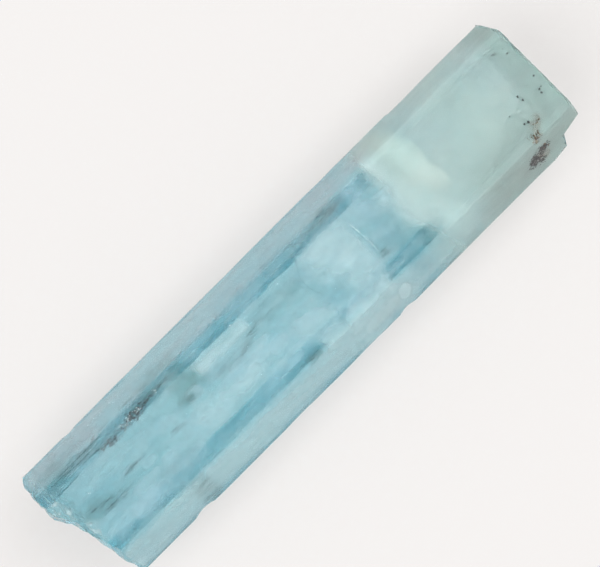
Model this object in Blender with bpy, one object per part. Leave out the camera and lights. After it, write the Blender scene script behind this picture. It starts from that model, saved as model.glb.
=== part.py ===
"""Aquamarine crystal: one loose six-sided prism of beryl, lying on one of its prism faces.

The crystal's long axis (its c axis) runs along X, with the flat natural end at +X and the
broken foot at -X. Its widest face looks up, and it rests on the face opposite. The origin is
under the middle of the crystal, on the surface that it rests on. Blender units are metres.
"""

import math

import bmesh
import bpy
from mathutils import Vector, noise

# Driving dimensions of the prism, in metres
LENGTH = 0.0788
WIDTH = 0.01836
THICKNESS = 0.0146
TOP_FACE = 0.01183
TOP_FACE_INSET = 0.00276
FRONT_CORNER_ANGLE = math.radians(120)
EDGE_WEAR = 0.00014

# How far each lower side leans in from the waist to the back face. Stepped growth makes them
# lean 4 to 5 degrees off the 60 degrees of an even hexagon, one more and the other less.
LEFT_UNDERCUT = 0.00468
RIGHT_UNDERCUT = 0.00564

# The natural end: its left corner is cleaved off over this run and drop
HEAD_CHIP_RUN = 0.0023
HEAD_CHIP_DROP = 0.00095

# The natural end stops short on its right side, in a notch with a slanting wall and ledge.
# Each place is (distance back from the natural end, distance in from the right side).
HEAD_NOTCH_MOUTH = (0.0, 0.00222)
HEAD_NOTCH_CORNER = (0.0028, 0.00164)
HEAD_NOTCH_LEDGE_END = (0.00322, 0.00037)
HEAD_NOTCH_TAPER_END = (0.0062, 0.0)

# The crystal grew a hair slimmer on its left side from here to the natural end
GROWTH_STEP_X = 0.0232
GROWTH_STEP = 0.0002

# The foot's outline seen from above, as (distance in from the left side, climb from the lowest
# place). It is a rough fracture, and its upper part leans inwards.
FOOT_OUTLINE = (
    (0.0, 0.0010),
    (0.0012, 0.0002),
    (0.0042, 0.0),
    (0.0062, 0.0001),
    (0.0086, 0.0013),
    (0.0114, 0.0020),
    (0.0190, 0.0034),
)
FOOT_LEAN = 0.0012
FOOT_LEAN_POWER = 2
FOOT_ROUGHNESS = 0.00042
FOOT_GRAIN = 0.0032
FOOT_FRACTAL = {"H": 0.9, "lacunarity": 2.1, "octaves": 4}
FOOT_CELLS = 22
FOOT_SEED = Vector((3.1, 7.4, 1.9))

# Chips struck out of the long edges, as (place along X, which edge, radius, depth). The edges
# are numbered as the corners of the cross-section are.
EDGE_CHIPS = (
    (0.0090, 2, 0.0030, 0.00030),
    (-0.0252, 2, 0.0036, 0.00042),
    (0.0205, 3, 0.0018, 0.00020),
    (-0.0168, 4, 0.0016, 0.00018),
    (0.0291, 4, 0.0020, 0.00022),
    (-0.0301, 5, 0.0027, 0.00030),
    (-0.0044, 0, 0.0016, 0.00010),
)
CHIP_FACETS = 3

# How far a cutter reaches past the crystal
CUTTER_MARGIN = 0.003
FOOT_CUTTER_REACH = 0.009

# The finish
BERYL_COLOUR = (0.43, 0.70, 0.74, 1.0)
BERYL_ROUGHNESS = 0.12
BERYL_INDEX = 1.577


def clear_scene():
    """Removes every object, so that the scene holds the crystal alone."""
    for thing in list(bpy.data.objects):
        bpy.data.objects.remove(thing, do_unlink=True)


def cross_section():
    """The six corners as (y, z), from the top face's left corner round to the left waist.

    The top face meets its neighbours at 120 degrees, so how far in it starts fixes how far
    each of them falls to the waist.
    """
    slope = math.tan(math.pi - FRONT_CORNER_ANGLE)
    left, right = WIDTH / 2, -WIDTH / 2
    top_left = left - TOP_FACE_INSET
    top_right = top_left - TOP_FACE
    left_waist = THICKNESS - TOP_FACE_INSET * slope
    right_waist = THICKNESS - (top_right - right) * slope
    return (
        (top_left, THICKNESS),
        (top_right, THICKNESS),
        (right, right_waist),
        (right + RIGHT_UNDERCUT, 0.0),
        (left - LEFT_UNDERCUT, 0.0),
        (left, left_waist),
    )


def aquamarine():
    """A pale sea-blue, glassy finish."""
    material = bpy.data.materials.new("aquamarine")
    material.use_nodes = True
    shader = material.node_tree.nodes["Principled BSDF"]
    shader.inputs["Base Color"].default_value = BERYL_COLOUR
    shader.inputs["Roughness"].default_value = BERYL_ROUGHNESS
    shader.inputs["Metallic"].default_value = 0.0
    shader.inputs["IOR"].default_value = BERYL_INDEX
    return material


def linked(name, shape):
    """A new object in the scene that holds the bmesh, which is freed."""
    bmesh.ops.recalc_face_normals(shape, faces=shape.faces)
    mesh = bpy.data.meshes.new(name)
    shape.to_mesh(mesh)
    shape.free()
    thing = bpy.data.objects.new(name, mesh)
    bpy.context.scene.collection.objects.link(thing)
    return thing


def extruded(shape, faces, direction):
    """Sweeps the faces of a bmesh along a direction into a closed block."""
    grown = bmesh.ops.extrude_face_region(shape, geom=faces)["geom"]
    corners = [part for part in grown if isinstance(part, bmesh.types.BMVert)]
    bmesh.ops.translate(shape, verts=corners, vec=direction)


def is_long(edge):
    """True for an edge that runs the crystal's whole length."""
    start, end = edge.verts
    return abs(start.co.x - end.co.x) > LENGTH / 2


def prism():
    """The whole crystal before it broke, with its long edges worn to narrow flats."""
    start = -LENGTH / 2 - CUTTER_MARGIN
    shape = bmesh.new()
    ring = [shape.verts.new((start, y, z)) for y, z in cross_section()]
    extruded(shape, [shape.faces.new(ring)], (LENGTH / 2 - start, 0, 0))
    long_edges = [edge for edge in shape.edges if is_long(edge)]
    bmesh.ops.bevel(shape, geom=long_edges, offset=EDGE_WEAR, segments=1, affect="EDGES")
    return linked("aquamarine_crystal", shape)


def foot_climb(from_left):
    """The foot's outline at a distance in from the left side, read between its corners."""
    pairs = zip(FOOT_OUTLINE, FOOT_OUTLINE[1:])
    for (start, low), (end, high) in pairs:
        if from_left <= end:
            share = max(from_left - start, 0.0) / (end - start)
            return low + (high - low) * share
    return FOOT_OUTLINE[-1][1]


def foot_height(y, z):
    """How far the fracture lies along X from a plain square foot, at a place in the section."""
    lean = FOOT_LEAN * (z / THICKNESS) ** FOOT_LEAN_POWER
    place = Vector((0.0, y, z)) / FOOT_GRAIN + FOOT_SEED
    shells = noise.fractal(
        place, FOOT_FRACTAL["H"], FOOT_FRACTAL["lacunarity"], FOOT_FRACTAL["octaves"]
    )
    return foot_climb(WIDTH / 2 - y) + lean + FOOT_ROUGHNESS * shells


def in_section(y, z):
    """True where the place lies inside the cross-section."""
    corners = cross_section()
    pairs = zip(corners, corners[1:] + corners[:1])
    return all((by - ay) * (z - az) - (bz - az) * (y - ay) >= 0 for (ay, az), (by, bz) in pairs)


def foot_cutter():
    """A block whose inner side is the fracture, and which takes away what lies beyond it."""
    reach_y = WIDTH / 2 + CUTTER_MARGIN
    low_z, high_z = -CUTTER_MARGIN, THICKNESS + CUTTER_MARGIN
    shape = bmesh.new()
    bmesh.ops.create_grid(shape, x_segments=FOOT_CELLS, y_segments=FOOT_CELLS, size=1.0)
    for corner in shape.verts:
        y = corner.co.x * reach_y
        z = low_z + (corner.co.y + 1) / 2 * (high_z - low_z)
        corner.co = (foot_height(y, z), y, z)
    lowest = min(corner.co.x for corner in shape.verts if in_section(corner.co.y, corner.co.z))
    bmesh.ops.translate(shape, verts=shape.verts, vec=(-LENGTH / 2 - lowest, 0, 0))
    extruded(shape, list(shape.faces), (-FOOT_CUTTER_REACH, 0, 0))
    return linked("foot_cutter", shape)


def plan_cutter(name, outline):
    """A block with that outline of (x, y) places seen from above, through the whole crystal."""
    shape = bmesh.new()
    ring = [shape.verts.new((x, y, -CUTTER_MARGIN)) for x, y in outline]
    extruded(shape, [shape.faces.new(ring)], (0, 0, THICKNESS + 2 * CUTTER_MARGIN))
    return linked(name, shape)


def head_chip_cutter():
    """Cleaves the left corner off the natural end, along a slant drawn out past both faces."""
    head, left = LENGTH / 2, WIDTH / 2
    past_side = CUTTER_MARGIN * HEAD_CHIP_DROP / HEAD_CHIP_RUN
    past_head = CUTTER_MARGIN * HEAD_CHIP_RUN / HEAD_CHIP_DROP
    outline = (
        (head - HEAD_CHIP_DROP - past_side, left + CUTTER_MARGIN),
        (head + CUTTER_MARGIN, left - HEAD_CHIP_RUN - past_head),
        (head + CUTTER_MARGIN, left + CUTTER_MARGIN),
    )
    return plan_cutter("head_chip_cutter", outline)


def head_notch_cutter():
    """Takes the right side of the natural end down to a lower, slanting ledge."""
    head, right = LENGTH / 2, -WIDTH / 2
    places = (HEAD_NOTCH_MOUTH, HEAD_NOTCH_CORNER, HEAD_NOTCH_LEDGE_END, HEAD_NOTCH_TAPER_END)
    outline = [(head - back, right + inward) for back, inward in places]
    taper_end_x = outline[-1][0]
    outline.append((taper_end_x, right - CUTTER_MARGIN))
    outline.append((head + CUTTER_MARGIN, right - CUTTER_MARGIN))
    outline.append((head + CUTTER_MARGIN, right + HEAD_NOTCH_MOUTH[1]))
    return plan_cutter("head_notch_cutter", outline)


def growth_step_cutter():
    """Shaves the left side from the growth step to the natural end."""
    past_head = LENGTH / 2 + CUTTER_MARGIN
    inner = WIDTH / 2 - GROWTH_STEP
    outer = WIDTH / 2 + CUTTER_MARGIN
    outline = (
        (GROWTH_STEP_X, inner),
        (past_head, inner),
        (past_head, outer),
        (GROWTH_STEP_X, outer),
    )
    return plan_cutter("growth_step_cutter", outline)


def chip_cutter(number, along, edge, radius, depth):
    """A faceted ball that bites that deep into a long edge, and leaves a shell-shaped scar."""
    y, z = cross_section()[edge]
    outward = Vector((0.0, y, z - THICKNESS / 2)).normalized()
    centre = Vector((along, y, z)) + outward * (radius - depth)
    shape = bmesh.new()
    bmesh.ops.create_icosphere(shape, subdivisions=CHIP_FACETS, radius=radius)
    bmesh.ops.translate(shape, verts=shape.verts, vec=centre)
    return linked(f"chip_cutter_{number}", shape)


def cut(body, cutter):
    """Takes the cutter out of the body with a live Boolean, and hides the cutter."""
    boolean = body.modifiers.new(cutter.name, "BOOLEAN")
    boolean.operation = "DIFFERENCE"
    boolean.object = cutter
    cutter.hide_render = True
    cutter.display_type = "WIRE"


def main():
    """Builds the crystal: the grown prism, then its breaks, steps and chips."""
    clear_scene()
    crystal = prism()
    crystal.data.materials.append(aquamarine())
    cut(crystal, foot_cutter())
    cut(crystal, head_chip_cutter())
    cut(crystal, head_notch_cutter())
    cut(crystal, growth_step_cutter())
    for number, (along, edge, radius, depth) in enumerate(EDGE_CHIPS, start=1):
        cut(crystal, chip_cutter(number, along, edge, radius, depth))


main()
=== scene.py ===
"""Looks of the aquamarine crystal: its grown and broken surface, and what is sealed inside it.

The frame gives the crystal's size and place. Sizes of the crystal's own surface are in metres in
that frame. Places inside the crystal are in millimetres, as a gem worker would note them: along
the c axis from the middle, across from the left side, and in depth from the top face.
"""

import logging
import math
import random
from dataclasses import dataclass
from enum import Enum
from functools import cached_property

import bmesh
import bpy
import numpy as np
from bpy.types import Material, Mesh, Node, NodeSocket, NodeTree, Object
from mathutils import Matrix, Vector, noise


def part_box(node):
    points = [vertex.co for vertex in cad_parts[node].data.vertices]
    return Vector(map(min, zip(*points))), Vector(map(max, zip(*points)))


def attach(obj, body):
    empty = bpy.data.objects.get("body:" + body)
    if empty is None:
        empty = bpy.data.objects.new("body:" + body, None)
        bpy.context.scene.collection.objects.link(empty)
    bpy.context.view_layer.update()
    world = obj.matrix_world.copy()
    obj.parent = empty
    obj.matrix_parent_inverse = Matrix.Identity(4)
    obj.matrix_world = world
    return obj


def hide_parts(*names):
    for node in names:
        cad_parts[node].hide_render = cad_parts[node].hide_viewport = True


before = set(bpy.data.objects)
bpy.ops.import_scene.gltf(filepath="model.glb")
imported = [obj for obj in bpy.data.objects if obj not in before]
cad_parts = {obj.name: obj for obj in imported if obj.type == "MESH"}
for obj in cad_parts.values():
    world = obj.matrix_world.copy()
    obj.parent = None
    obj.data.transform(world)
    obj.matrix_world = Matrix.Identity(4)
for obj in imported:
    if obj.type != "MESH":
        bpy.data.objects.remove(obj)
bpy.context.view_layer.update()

NODE = "aquamarine_crystal"
BODY = "root"
MM = 0.001
BERYL_INDEX = 1.577
BOX_LOW, BOX_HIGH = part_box(NODE)
# How far the prism sides lean off their neighbours, in degrees
SIDE_LEAN = 60

# What a node's input can be given
Source = NodeSocket | Material | float | str | tuple

log = logging.getLogger("aquamarine")


class Slot(Enum):
    """The record's material slots."""

    CRYSTAL = "aquamarine"
    VEIL = "veil"
    DARK = "dark_mineral"


class Lie(Enum):
    """How a sheet lies in the crystal."""

    PRISM = "level, along the c axis"
    BASAL = "upright, across the c axis"
    SKIN = "bent with the crystal's upper skin"


class Nodes:
    """Adds nodes to a tree, with each input set to a value or linked to another socket."""

    def __init__(self, tree: NodeTree) -> None:
        """Starts with the tree as it is."""
        self.tree = tree

    def add(self, kind: str, inputs: dict | None = None, **settings: object) -> Node:
        """Adds one node.

        Args:
            kind: the node's type name.
            inputs: values or sockets by input name or number.
            settings: the node's own properties.

        Returns:
            The new node.
        """
        node = self.tree.nodes.new(kind)
        for name, value in settings.items():
            setattr(node, name, value)
        for key, value in (inputs or {}).items():
            self.feed(value, node.inputs[key])
        return node

    def feed(self, value: Source, socket: NodeSocket) -> None:
        """Links a socket into another one, or sets it to a plain value.

        Args:
            value: a socket or a plain value.
            socket: what takes it.
        """
        if isinstance(value, NodeSocket):
            self.tree.links.new(value, socket)
        else:
            socket.default_value = value

    def math(self, operation: str, first: Source, second: Source = 0.0) -> NodeSocket:
        """One sum or comparison, as its result socket."""
        return self.add("ShaderNodeMath", {0: first, 1: second}, operation=operation).outputs[0]

    def ramp(
        self, value: Source, low: Source, high: Source, floor: float = 0.0, ceiling: float = 1.0
    ) -> NodeSocket:
        """A smooth step from floor to ceiling as the value goes from low to high."""
        inputs = {"Value": value, "From Min": low, "From Max": high, "To Min": floor, "To Max": ceiling}
        return self.add("ShaderNodeMapRange", inputs, interpolation_type="SMOOTHSTEP").outputs[0]

    def blend(self, share: Source, first: Source, second: Source) -> NodeSocket:
        """One colour going over into another."""
        inputs = {0: share, 6: first, 7: second}
        return self.add("ShaderNodeMix", inputs, data_type="RGBA").outputs[2]

    def noise(
        self, place: Source, scale: Source = 1.0, detail: float = 2.0, **inputs: float
    ) -> NodeSocket:
        """Soft noise at a place."""
        values = {"Vector": place, "Scale": scale, "Detail": detail, **inputs}
        return self.add("ShaderNodeTexNoise", values).outputs[0]

    def vector(self, x: Source, y: Source, z: Source) -> NodeSocket:
        """Three numbers as one vector."""
        return self.add("ShaderNodeCombineXYZ", {"X": x, "Y": y, "Z": z}).outputs[0]


def new_group(name: str, inputs: dict, output: str) -> tuple[Nodes, dict, NodeSocket]:
    """A node group with named inputs and one output.

    Args:
        name: the group's name.
        inputs: each input's default by name, with None for a material.
        output: the output's name. "Geometry" makes a Geometry Nodes tree, which takes a geometry
            as well, and any other name makes a shader group that puts out a number.

    Returns:
        The group's nodes, its input sockets by name, and its output socket.
    """
    has_shape = output == "Geometry"
    tree = bpy.data.node_groups.new(name, "GeometryNodeTree" if has_shape else "ShaderNodeTree")
    kinds = {float: "NodeSocketFloat", int: "NodeSocketInt", type(None): "NodeSocketMaterial"}
    if has_shape:
        tree.interface.new_socket(output, in_out="INPUT", socket_type="NodeSocketGeometry")
    for label, default in inputs.items():
        socket = tree.interface.new_socket(label, in_out="INPUT", socket_type=kinds[type(default)])
        if default is not None:
            socket.default_value = default
    given = "NodeSocketGeometry" if has_shape else "NodeSocketFloat"
    tree.interface.new_socket(output, in_out="OUTPUT", socket_type=given)
    nodes = Nodes(tree)
    entry = nodes.add("NodeGroupInput")
    leave = nodes.add("NodeGroupOutput")
    taken = {socket.name: socket for socket in entry.outputs if socket.name}
    return nodes, taken, leave.inputs[0]


def linked(name: str, mesh: Mesh) -> Object:
    """Puts a mesh in the scene.

    Args:
        name: the object's name.
        mesh: what it shows.

    Returns:
        The new object.
    """
    thing = bpy.data.objects.new(name, mesh)
    bpy.context.scene.collection.objects.link(thing)
    return thing


def grow(thing: Object, tree: NodeTree, values: dict) -> Object:
    """Runs a Geometry Nodes tree on an object and keeps the result as a plain mesh.

    Args:
        thing: the object that the tree starts from.
        tree: the Geometry Nodes tree.
        values: the tree's inputs by name.

    Returns:
        The same object, with the result as its mesh and no modifiers.
    """
    modifier = thing.modifiers.new(tree.name, "NODES")
    modifier.node_group = tree
    sockets = {item.name: item for item in tree.interface.items_tree if item.in_out == "INPUT"}
    for name, value in values.items():
        modifier[sockets[name].identifier] = value
    graph = bpy.context.evaluated_depsgraph_get()
    mesh = bpy.data.meshes.new_from_object(thing.evaluated_get(graph), depsgraph=graph)
    mesh.name = thing.name
    thing.modifiers.clear()
    thing.data = mesh
    return thing


def keep(piece: Object) -> None:
    """Rides a finished piece on the crystal and reports it.

    Args:
        piece: the finished piece.
    """
    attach(piece, BODY)
    log.info("%s: %d faces", piece.name, len(piece.data.polygons))


@dataclass(frozen=True)
class CrossSection:
    """The worn hexagon across the c axis, in metres. Its upper corners are 120 degrees."""

    top_face: float = 0.01183
    top_face_inset: float = 0.00276
    left_undercut: float = 0.00468
    right_undercut: float = 0.00564
    wear: float = 0.00028
    corner_retreat: float = 0.00007
    arc_points: int = 5
    soft_edge: float = 0.0015

    @property
    def left(self) -> float:
        """Where the left waist was before it wore."""
        return BOX_HIGH.y + self.corner_retreat

    @property
    def right(self) -> float:
        """Where the right waist was before it wore."""
        return BOX_LOW.y - self.corner_retreat

    def corners(self) -> list[Vector]:
        """The six unworn corners.

        Returns:
            Their (y, z) places, from the top left one round by the right.
        """
        slope = math.tan(math.radians(SIDE_LEAN))
        top = BOX_HIGH.z
        top_left = self.left - self.top_face_inset
        top_right = top_left - self.top_face
        return [
            Vector((top_left, top)),
            Vector((top_right, top)),
            Vector((self.right, top - (top_right - self.right) * slope)),
            Vector((self.right + self.right_undercut, 0.0)),
            Vector((self.left - self.left_undercut, 0.0)),
            Vector((self.left, top - self.top_face_inset * slope)),
        ]

    def outline(self) -> list[Vector]:
        """The closed outline with each corner worn to a small arc.

        Returns:
            The (y, z) places round it.
        """
        corners = self.corners()
        points = []
        for index, corner in enumerate(corners):
            before = corners[index - 1]
            after = corners[(index + 1) % len(corners)]
            start = corner + (before - corner).normalized() * self.wear
            end = corner + (after - corner).normalized() * self.wear
            for step in range(self.arc_points):
                share = step / (self.arc_points - 1)
                points.append(start.lerp(corner, share).lerp(corner.lerp(end, share), share))
        return points

    def chains(self) -> tuple[np.ndarray, np.ndarray]:
        """Parts the outline at its waists.

        Returns:
            The upper and the lower half, each from the left waist to the right.
        """
        points = np.array([tuple(point) for point in self.outline()])
        points = np.roll(points, -int(points[:, 0].argmax()), axis=0)
        rightmost = int(points[:, 0].argmin())
        upper = points[: rightmost + 1]
        lower = np.vstack([points[:1], points[rightmost:][::-1]])
        return upper, lower

    def drop(self, y: float) -> float:
        """How far the upper skin, its long edges taken softly round, is below the top.

        Args:
            y: the place across.

        Returns:
            The drop in metres.
        """
        top_left = self.left - self.top_face_inset
        out = max(y - top_left, top_left - self.top_face - y) * math.tan(math.radians(SIDE_LEAN))
        return (out + math.hypot(out, self.soft_edge)) / 2

    def room(self, y: float, z: float) -> float:
        """How far inside the nearest side a place is, or a negative number outside.

        Args:
            y: the place across.
            z: its height.

        Returns:
            The way to that side in metres.
        """
        corners = self.corners()
        room = math.inf
        for index, corner in enumerate(corners):
            side = corners[(index + 1) % len(corners)] - corner
            inward = Vector((-side.y, side.x)).normalized()
            room = min(room, inward.dot(Vector((y, z)) - corner))
        return room


@dataclass(frozen=True)
class NaturalEnd:
    """The flat head of the crystal: a cleaved left corner and a notch at the right, in metres."""

    chip_run: float = 0.0023
    chip_drop: float = 0.00095
    notch_mouth: float = 0.00222
    notch_corner: tuple[float, float] = (0.0028, 0.00164)
    ledge_end: tuple[float, float] = (0.00322, 0.00037)
    taper_end: tuple[float, float] = (0.0062, 0.0)
    etch_depth: float = 0.00009
    etch_scale: float = 0.0016

    def profile(self, section: CrossSection) -> tuple[np.ndarray, np.ndarray]:
        """The head's outline seen from above.

        Args:
            section: the crystal's cross section.

        Returns:
            The y places, and how far back each one is.
        """
        back = [self.chip_drop, 0.0, 0.0, self.notch_corner[0], self.ledge_end[0], self.taper_end[0]]
        y_places = [
            section.left,
            section.left - self.chip_run,
            section.right + self.notch_mouth,
            section.right + self.notch_corner[1],
            section.right + self.ledge_end[1],
            section.right + self.taper_end[1],
        ]
        return np.array(y_places), np.array(back)

    def back(self, section: CrossSection, y: float, z: float) -> float:
        """How far back from the box's end the head's surface is at a place.

        Args:
            section: the crystal's cross section.
            y: the place across.
            z: its height.

        Returns:
            The way back in metres.
        """
        y_places, back = self.profile(section)
        plain = float(np.interp(-y, -y_places, back))
        place = Vector((y, z, 0.0)) / self.etch_scale
        steps = noise.fractal(place, 0.8, 2.2, 4)
        return plain + self.etch_depth * max(steps + 0.35, 0.0)


@dataclass(frozen=True)
class BrokenFoot:
    """The rough fracture at the crystal's foot, in metres."""

    outline: tuple = (
        (0.0, 0.0010),
        (0.0012, 0.0002),
        (0.0042, 0.0),
        (0.0062, 0.0001),
        (0.0086, 0.0013),
        (0.0114, 0.0020),
        (0.0190, 0.0034),
    )
    lean: float = 0.0012
    roughness: float = 0.00042
    grain: float = 0.0032
    crumble: float = 0.00016
    crumble_scale: float = 0.0007
    seed: tuple = (3.1, 7.4, 1.9)

    def climb(self, section: CrossSection, y: float, z: float) -> float:
        """How far up from the box's end the fracture is at a place.

        Args:
            section: the crystal's cross section.
            y: the place across.
            z: its height.

        Returns:
            The way up in metres.
        """
        across, rise = zip(*self.outline)
        plain = float(np.interp(section.left - y, across, rise))
        place = Vector((0.0, y, z)) / self.grain + Vector(self.seed)
        shells = self.roughness * (noise.fractal(place, 0.9, 2.1, 4) + 0.75)
        fine = Vector((0.0, y, z)) / self.crumble_scale
        crumbs = self.crumble * abs(noise.fractal(fine, 0.7, 2.3, 3))
        lean = self.lean * (z / BOX_HIGH.z) ** 2
        return max(plain + lean + shells + crumbs, 0.0)


@dataclass(frozen=True)
class Chip:
    """A shell-shaped scar on a long edge: where it is, and the ball that bit it, in metres."""

    along: float
    corner: int
    radius: float
    depth: float

    def centre(self, section: CrossSection) -> Vector:
        """Finds the middle of the ball.

        Args:
            section: the crystal's cross section.

        Returns:
            Its place in the frame.
        """
        y, z = section.corners()[self.corner]
        outward = Vector((0.0, y, z - BOX_HIGH.z / 2)).normalized()
        return Vector((self.along, y, z)) + outward * (self.radius - self.depth)


STRUCK_CHIPS = (
    Chip(0.0090, 2, 0.0030, 0.00030),
    Chip(-0.0252, 2, 0.0036, 0.00042),
    Chip(0.0205, 3, 0.0018, 0.00020),
    Chip(-0.0168, 4, 0.0016, 0.00018),
    Chip(0.0291, 4, 0.0020, 0.00022),
    Chip(-0.0301, 5, 0.0027, 0.00030),
    Chip(-0.0044, 0, 0.0016, 0.00010),
)


@dataclass(frozen=True)
class Form:
    """The crystal's whole shape, for what has to stay inside it."""

    section: CrossSection = CrossSection()
    head: NaturalEnd = NaturalEnd()
    foot: BrokenFoot = BrokenFoot()
    nicks: int = 46
    nick_radius: tuple[float, float] = (0.0005, 0.0013)
    nick_depth: tuple[float, float] = (0.00003, 0.00012)
    nick_seed: int = 11
    nick_span: float = 0.94
    margin: float = 0.00016
    end_margin: float = 0.00007
    chip_reach: float = 0.0005

    @cached_property
    def chips(self) -> list[Chip]:
        """The struck chips, and small nicks scattered along every edge.

        Returns:
            All of them.
        """
        chance = random.Random(self.nick_seed)
        found = list(STRUCK_CHIPS)
        half = BOX_HIGH.x * self.nick_span
        for _ in range(self.nicks):
            along = chance.uniform(-half, half)
            radius = chance.uniform(*self.nick_radius)
            depth = chance.uniform(*self.nick_depth)
            found.append(Chip(along, chance.randrange(6), radius, depth))
        return found

    @cached_property
    def bites(self) -> list[tuple[Vector, float]]:
        """The middle of each chip's ball, and how far from it the crystal is whole."""
        return [(chip.centre(self.section), chip.radius + self.margin / 2) for chip in self.chips]

    def holds(self, place: Vector) -> bool:
        """Tells whether a place is safely under the crystal's skin.

        Args:
            place: a place in the frame.

        Returns:
            True where it is.
        """
        room = self.section.room(place.y, place.z)
        if room < self.margin:
            return False
        front = BOX_HIGH.x - self.head.back(self.section, place.y, place.z)
        back = BOX_LOW.x + self.foot.climb(self.section, place.y, place.z)
        if not back + self.margin < place.x < front - self.end_margin:
            return False
        return room > self.chip_reach or all((place - middle).length > reach for middle, reach in self.bites)

    def point(self, along: float, across: float, depth: float) -> Vector:
        """A place given in millimetres, in the frame in metres."""
        left, top = BOX_HIGH.y, BOX_HIGH.z
        return Vector((along * MM, left - across * MM, top - depth * MM))

    def skin_depth(self, across: float) -> float:
        """How far the softly rounded upper skin is below the top, in millimetres."""
        return self.section.drop(BOX_HIGH.y - across * MM) / MM


FORM = Form()


@dataclass
class CrystalBody:
    """The crystal itself: one closed skin over its sides, its natural end and its foot."""

    form: Form = FORM
    stations: int = 220
    side_spacing: float = 0.00012
    middle_spacing: float = 0.0002
    cap_cells: int = 56
    end_reach: float = 0.014
    growth_step_x: float = 0.0232
    growth_step: float = 0.00013
    growth_step_run: float = 0.0004
    line_depth: float = 0.000018
    terrace_depth: float = 0.000038
    pit_depth: float = 0.00005
    sharp_angle: float = math.radians(38)
    level: float = 0.97
    base_share: float = 0.12
    top_share: float = 0.45

    def rows(self) -> list[float]:
        """The mesh's long lines.

        Returns:
            Their y places, from the left waist to the right.
        """
        section = self.form.section
        upper, lower = section.chains()
        head_places, _ = self.form.head.profile(section)
        left, right = float(upper[0, 0]), float(upper[-1, 0])
        marks = [*upper[:, 0], *lower[:, 0], *head_places]
        marks = sorted({round(float(y), 6) for y in marks if right <= y <= left}, reverse=True)
        marks[0], marks[-1] = left, right
        base_left = section.left - section.left_undercut
        base_right = section.right + section.right_undercut
        filled = [marks[0]]
        for start, end in zip(marks, marks[1:]):
            over_base = base_right < (start + end) / 2 < base_left
            spacing = self.middle_spacing if over_base else self.side_spacing
            cells = max(1, math.ceil((start - end) / spacing))
            filled += [start + (end - start) * (cell + 1) / cells for cell in range(cells)]
        return filled

    def ring(self) -> tuple[np.ndarray, int]:
        """The places round the crystal.

        Returns:
            The (y, z) places, and how many of them are on the upper half.
        """
        ys = np.array(self.rows())
        upper, lower = self.form.section.chains()
        top = np.interp(-ys, -upper[:, 0], upper[:, 1])
        low = np.interp(-ys, -lower[:, 0], lower[:, 1])
        low[0], low[-1] = top[0], top[-1]
        over = np.column_stack([ys, top])
        under = np.column_stack([ys, low])[1:-1][::-1]
        return np.vstack([over, under]), len(ys)

    def scar(self, points: np.ndarray) -> None:
        """Pushes what lies inside each chip's ball out to the ball's skin.

        Args:
            points: the skin's places, which it changes.
        """
        for chip in self.form.chips:
            centre = np.array(chip.centre(self.form.section))
            away = points - centre
            distance = np.linalg.norm(away, axis=1)
            bitten = distance < chip.radius
            points[bitten] = centre + away[bitten] / distance[bitten, None] * chip.radius

    def side_points(self, ring: np.ndarray) -> np.ndarray:
        """Every place on the sides, station by station from the foot to the head.

        Args:
            ring: the (y, z) places round the crystal.

        Returns:
            The places, one to a row.
        """
        form = self.form
        low, high = BOX_LOW.x, BOX_HIGH.x
        climb = np.array([form.foot.climb(form.section, y, z) for y, z in ring])
        back = np.array([form.head.back(form.section, y, z) for y, z in ring])
        plain = np.linspace(low, high, self.stations)[:, None]
        near_foot = np.clip(1 - (plain - low) / self.end_reach, 0, 1)
        near_head = np.clip(1 - (high - plain) / self.end_reach, 0, 1)
        x = plain + near_foot * climb[None, :] - near_head * back[None, :]
        points = np.empty((self.stations, len(ring), 3))
        points[..., 0] = x
        points[..., 1] = ring[None, :, 0]
        points[..., 2] = ring[None, :, 1]
        slim = np.clip((x - self.growth_step_x) / self.growth_step_run, 0, 1) * self.growth_step
        points[..., 1] = np.minimum(points[..., 1], BOX_HIGH.y - slim)
        return points.reshape(-1, 3)

    def end_x(self, y: float, z: float, head: bool) -> float:
        """Where the head's or the foot's surface is at a place.

        Args:
            y: the place across.
            z: its height.
            head: True for the head.

        Returns:
            Its place along the c axis.
        """
        form = self.form
        if head:
            return BOX_HIGH.x - form.head.back(form.section, y, z)
        return BOX_LOW.x + form.foot.climb(form.section, y, z)

    def cap(self, ring: np.ndarray, count: int, first: int, start: int, head: bool) -> tuple[list, list]:
        """One end's inner places and its faces.

        Args:
            ring: the (y, z) places round the crystal.
            count: how many of them are on the upper half.
            first: the number of the ring's first place in the mesh.
            start: the number that the first new place gets.
            head: True for the natural end, False for the foot.

        Returns:
            The new places and the faces.
        """
        total = len(ring)
        points, faces, lines = [], [], []
        for row in range(count):
            top = first + row
            if row in (0, count - 1):
                lines.append([top] * (self.cap_cells + 1))
                continue
            line = [first + total - row]
            for cell in range(1, self.cap_cells):
                share = cell / self.cap_cells
                y = float(ring[row, 0])
                z = float(ring[total - row, 1] * (1 - share) + ring[row, 1] * share)
                line.append(start + len(points))
                points.append((self.end_x(y, z, head), y, z))
            lines.append(line + [top])
        for line, after in zip(lines, lines[1:]):
            for cell in range(self.cap_cells):
                corners = [line[cell], line[cell + 1], after[cell + 1], after[cell]]
                corners = list(dict.fromkeys(corners))
                if len(corners) > 2:
                    faces.append(corners)
        return points, faces

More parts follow.
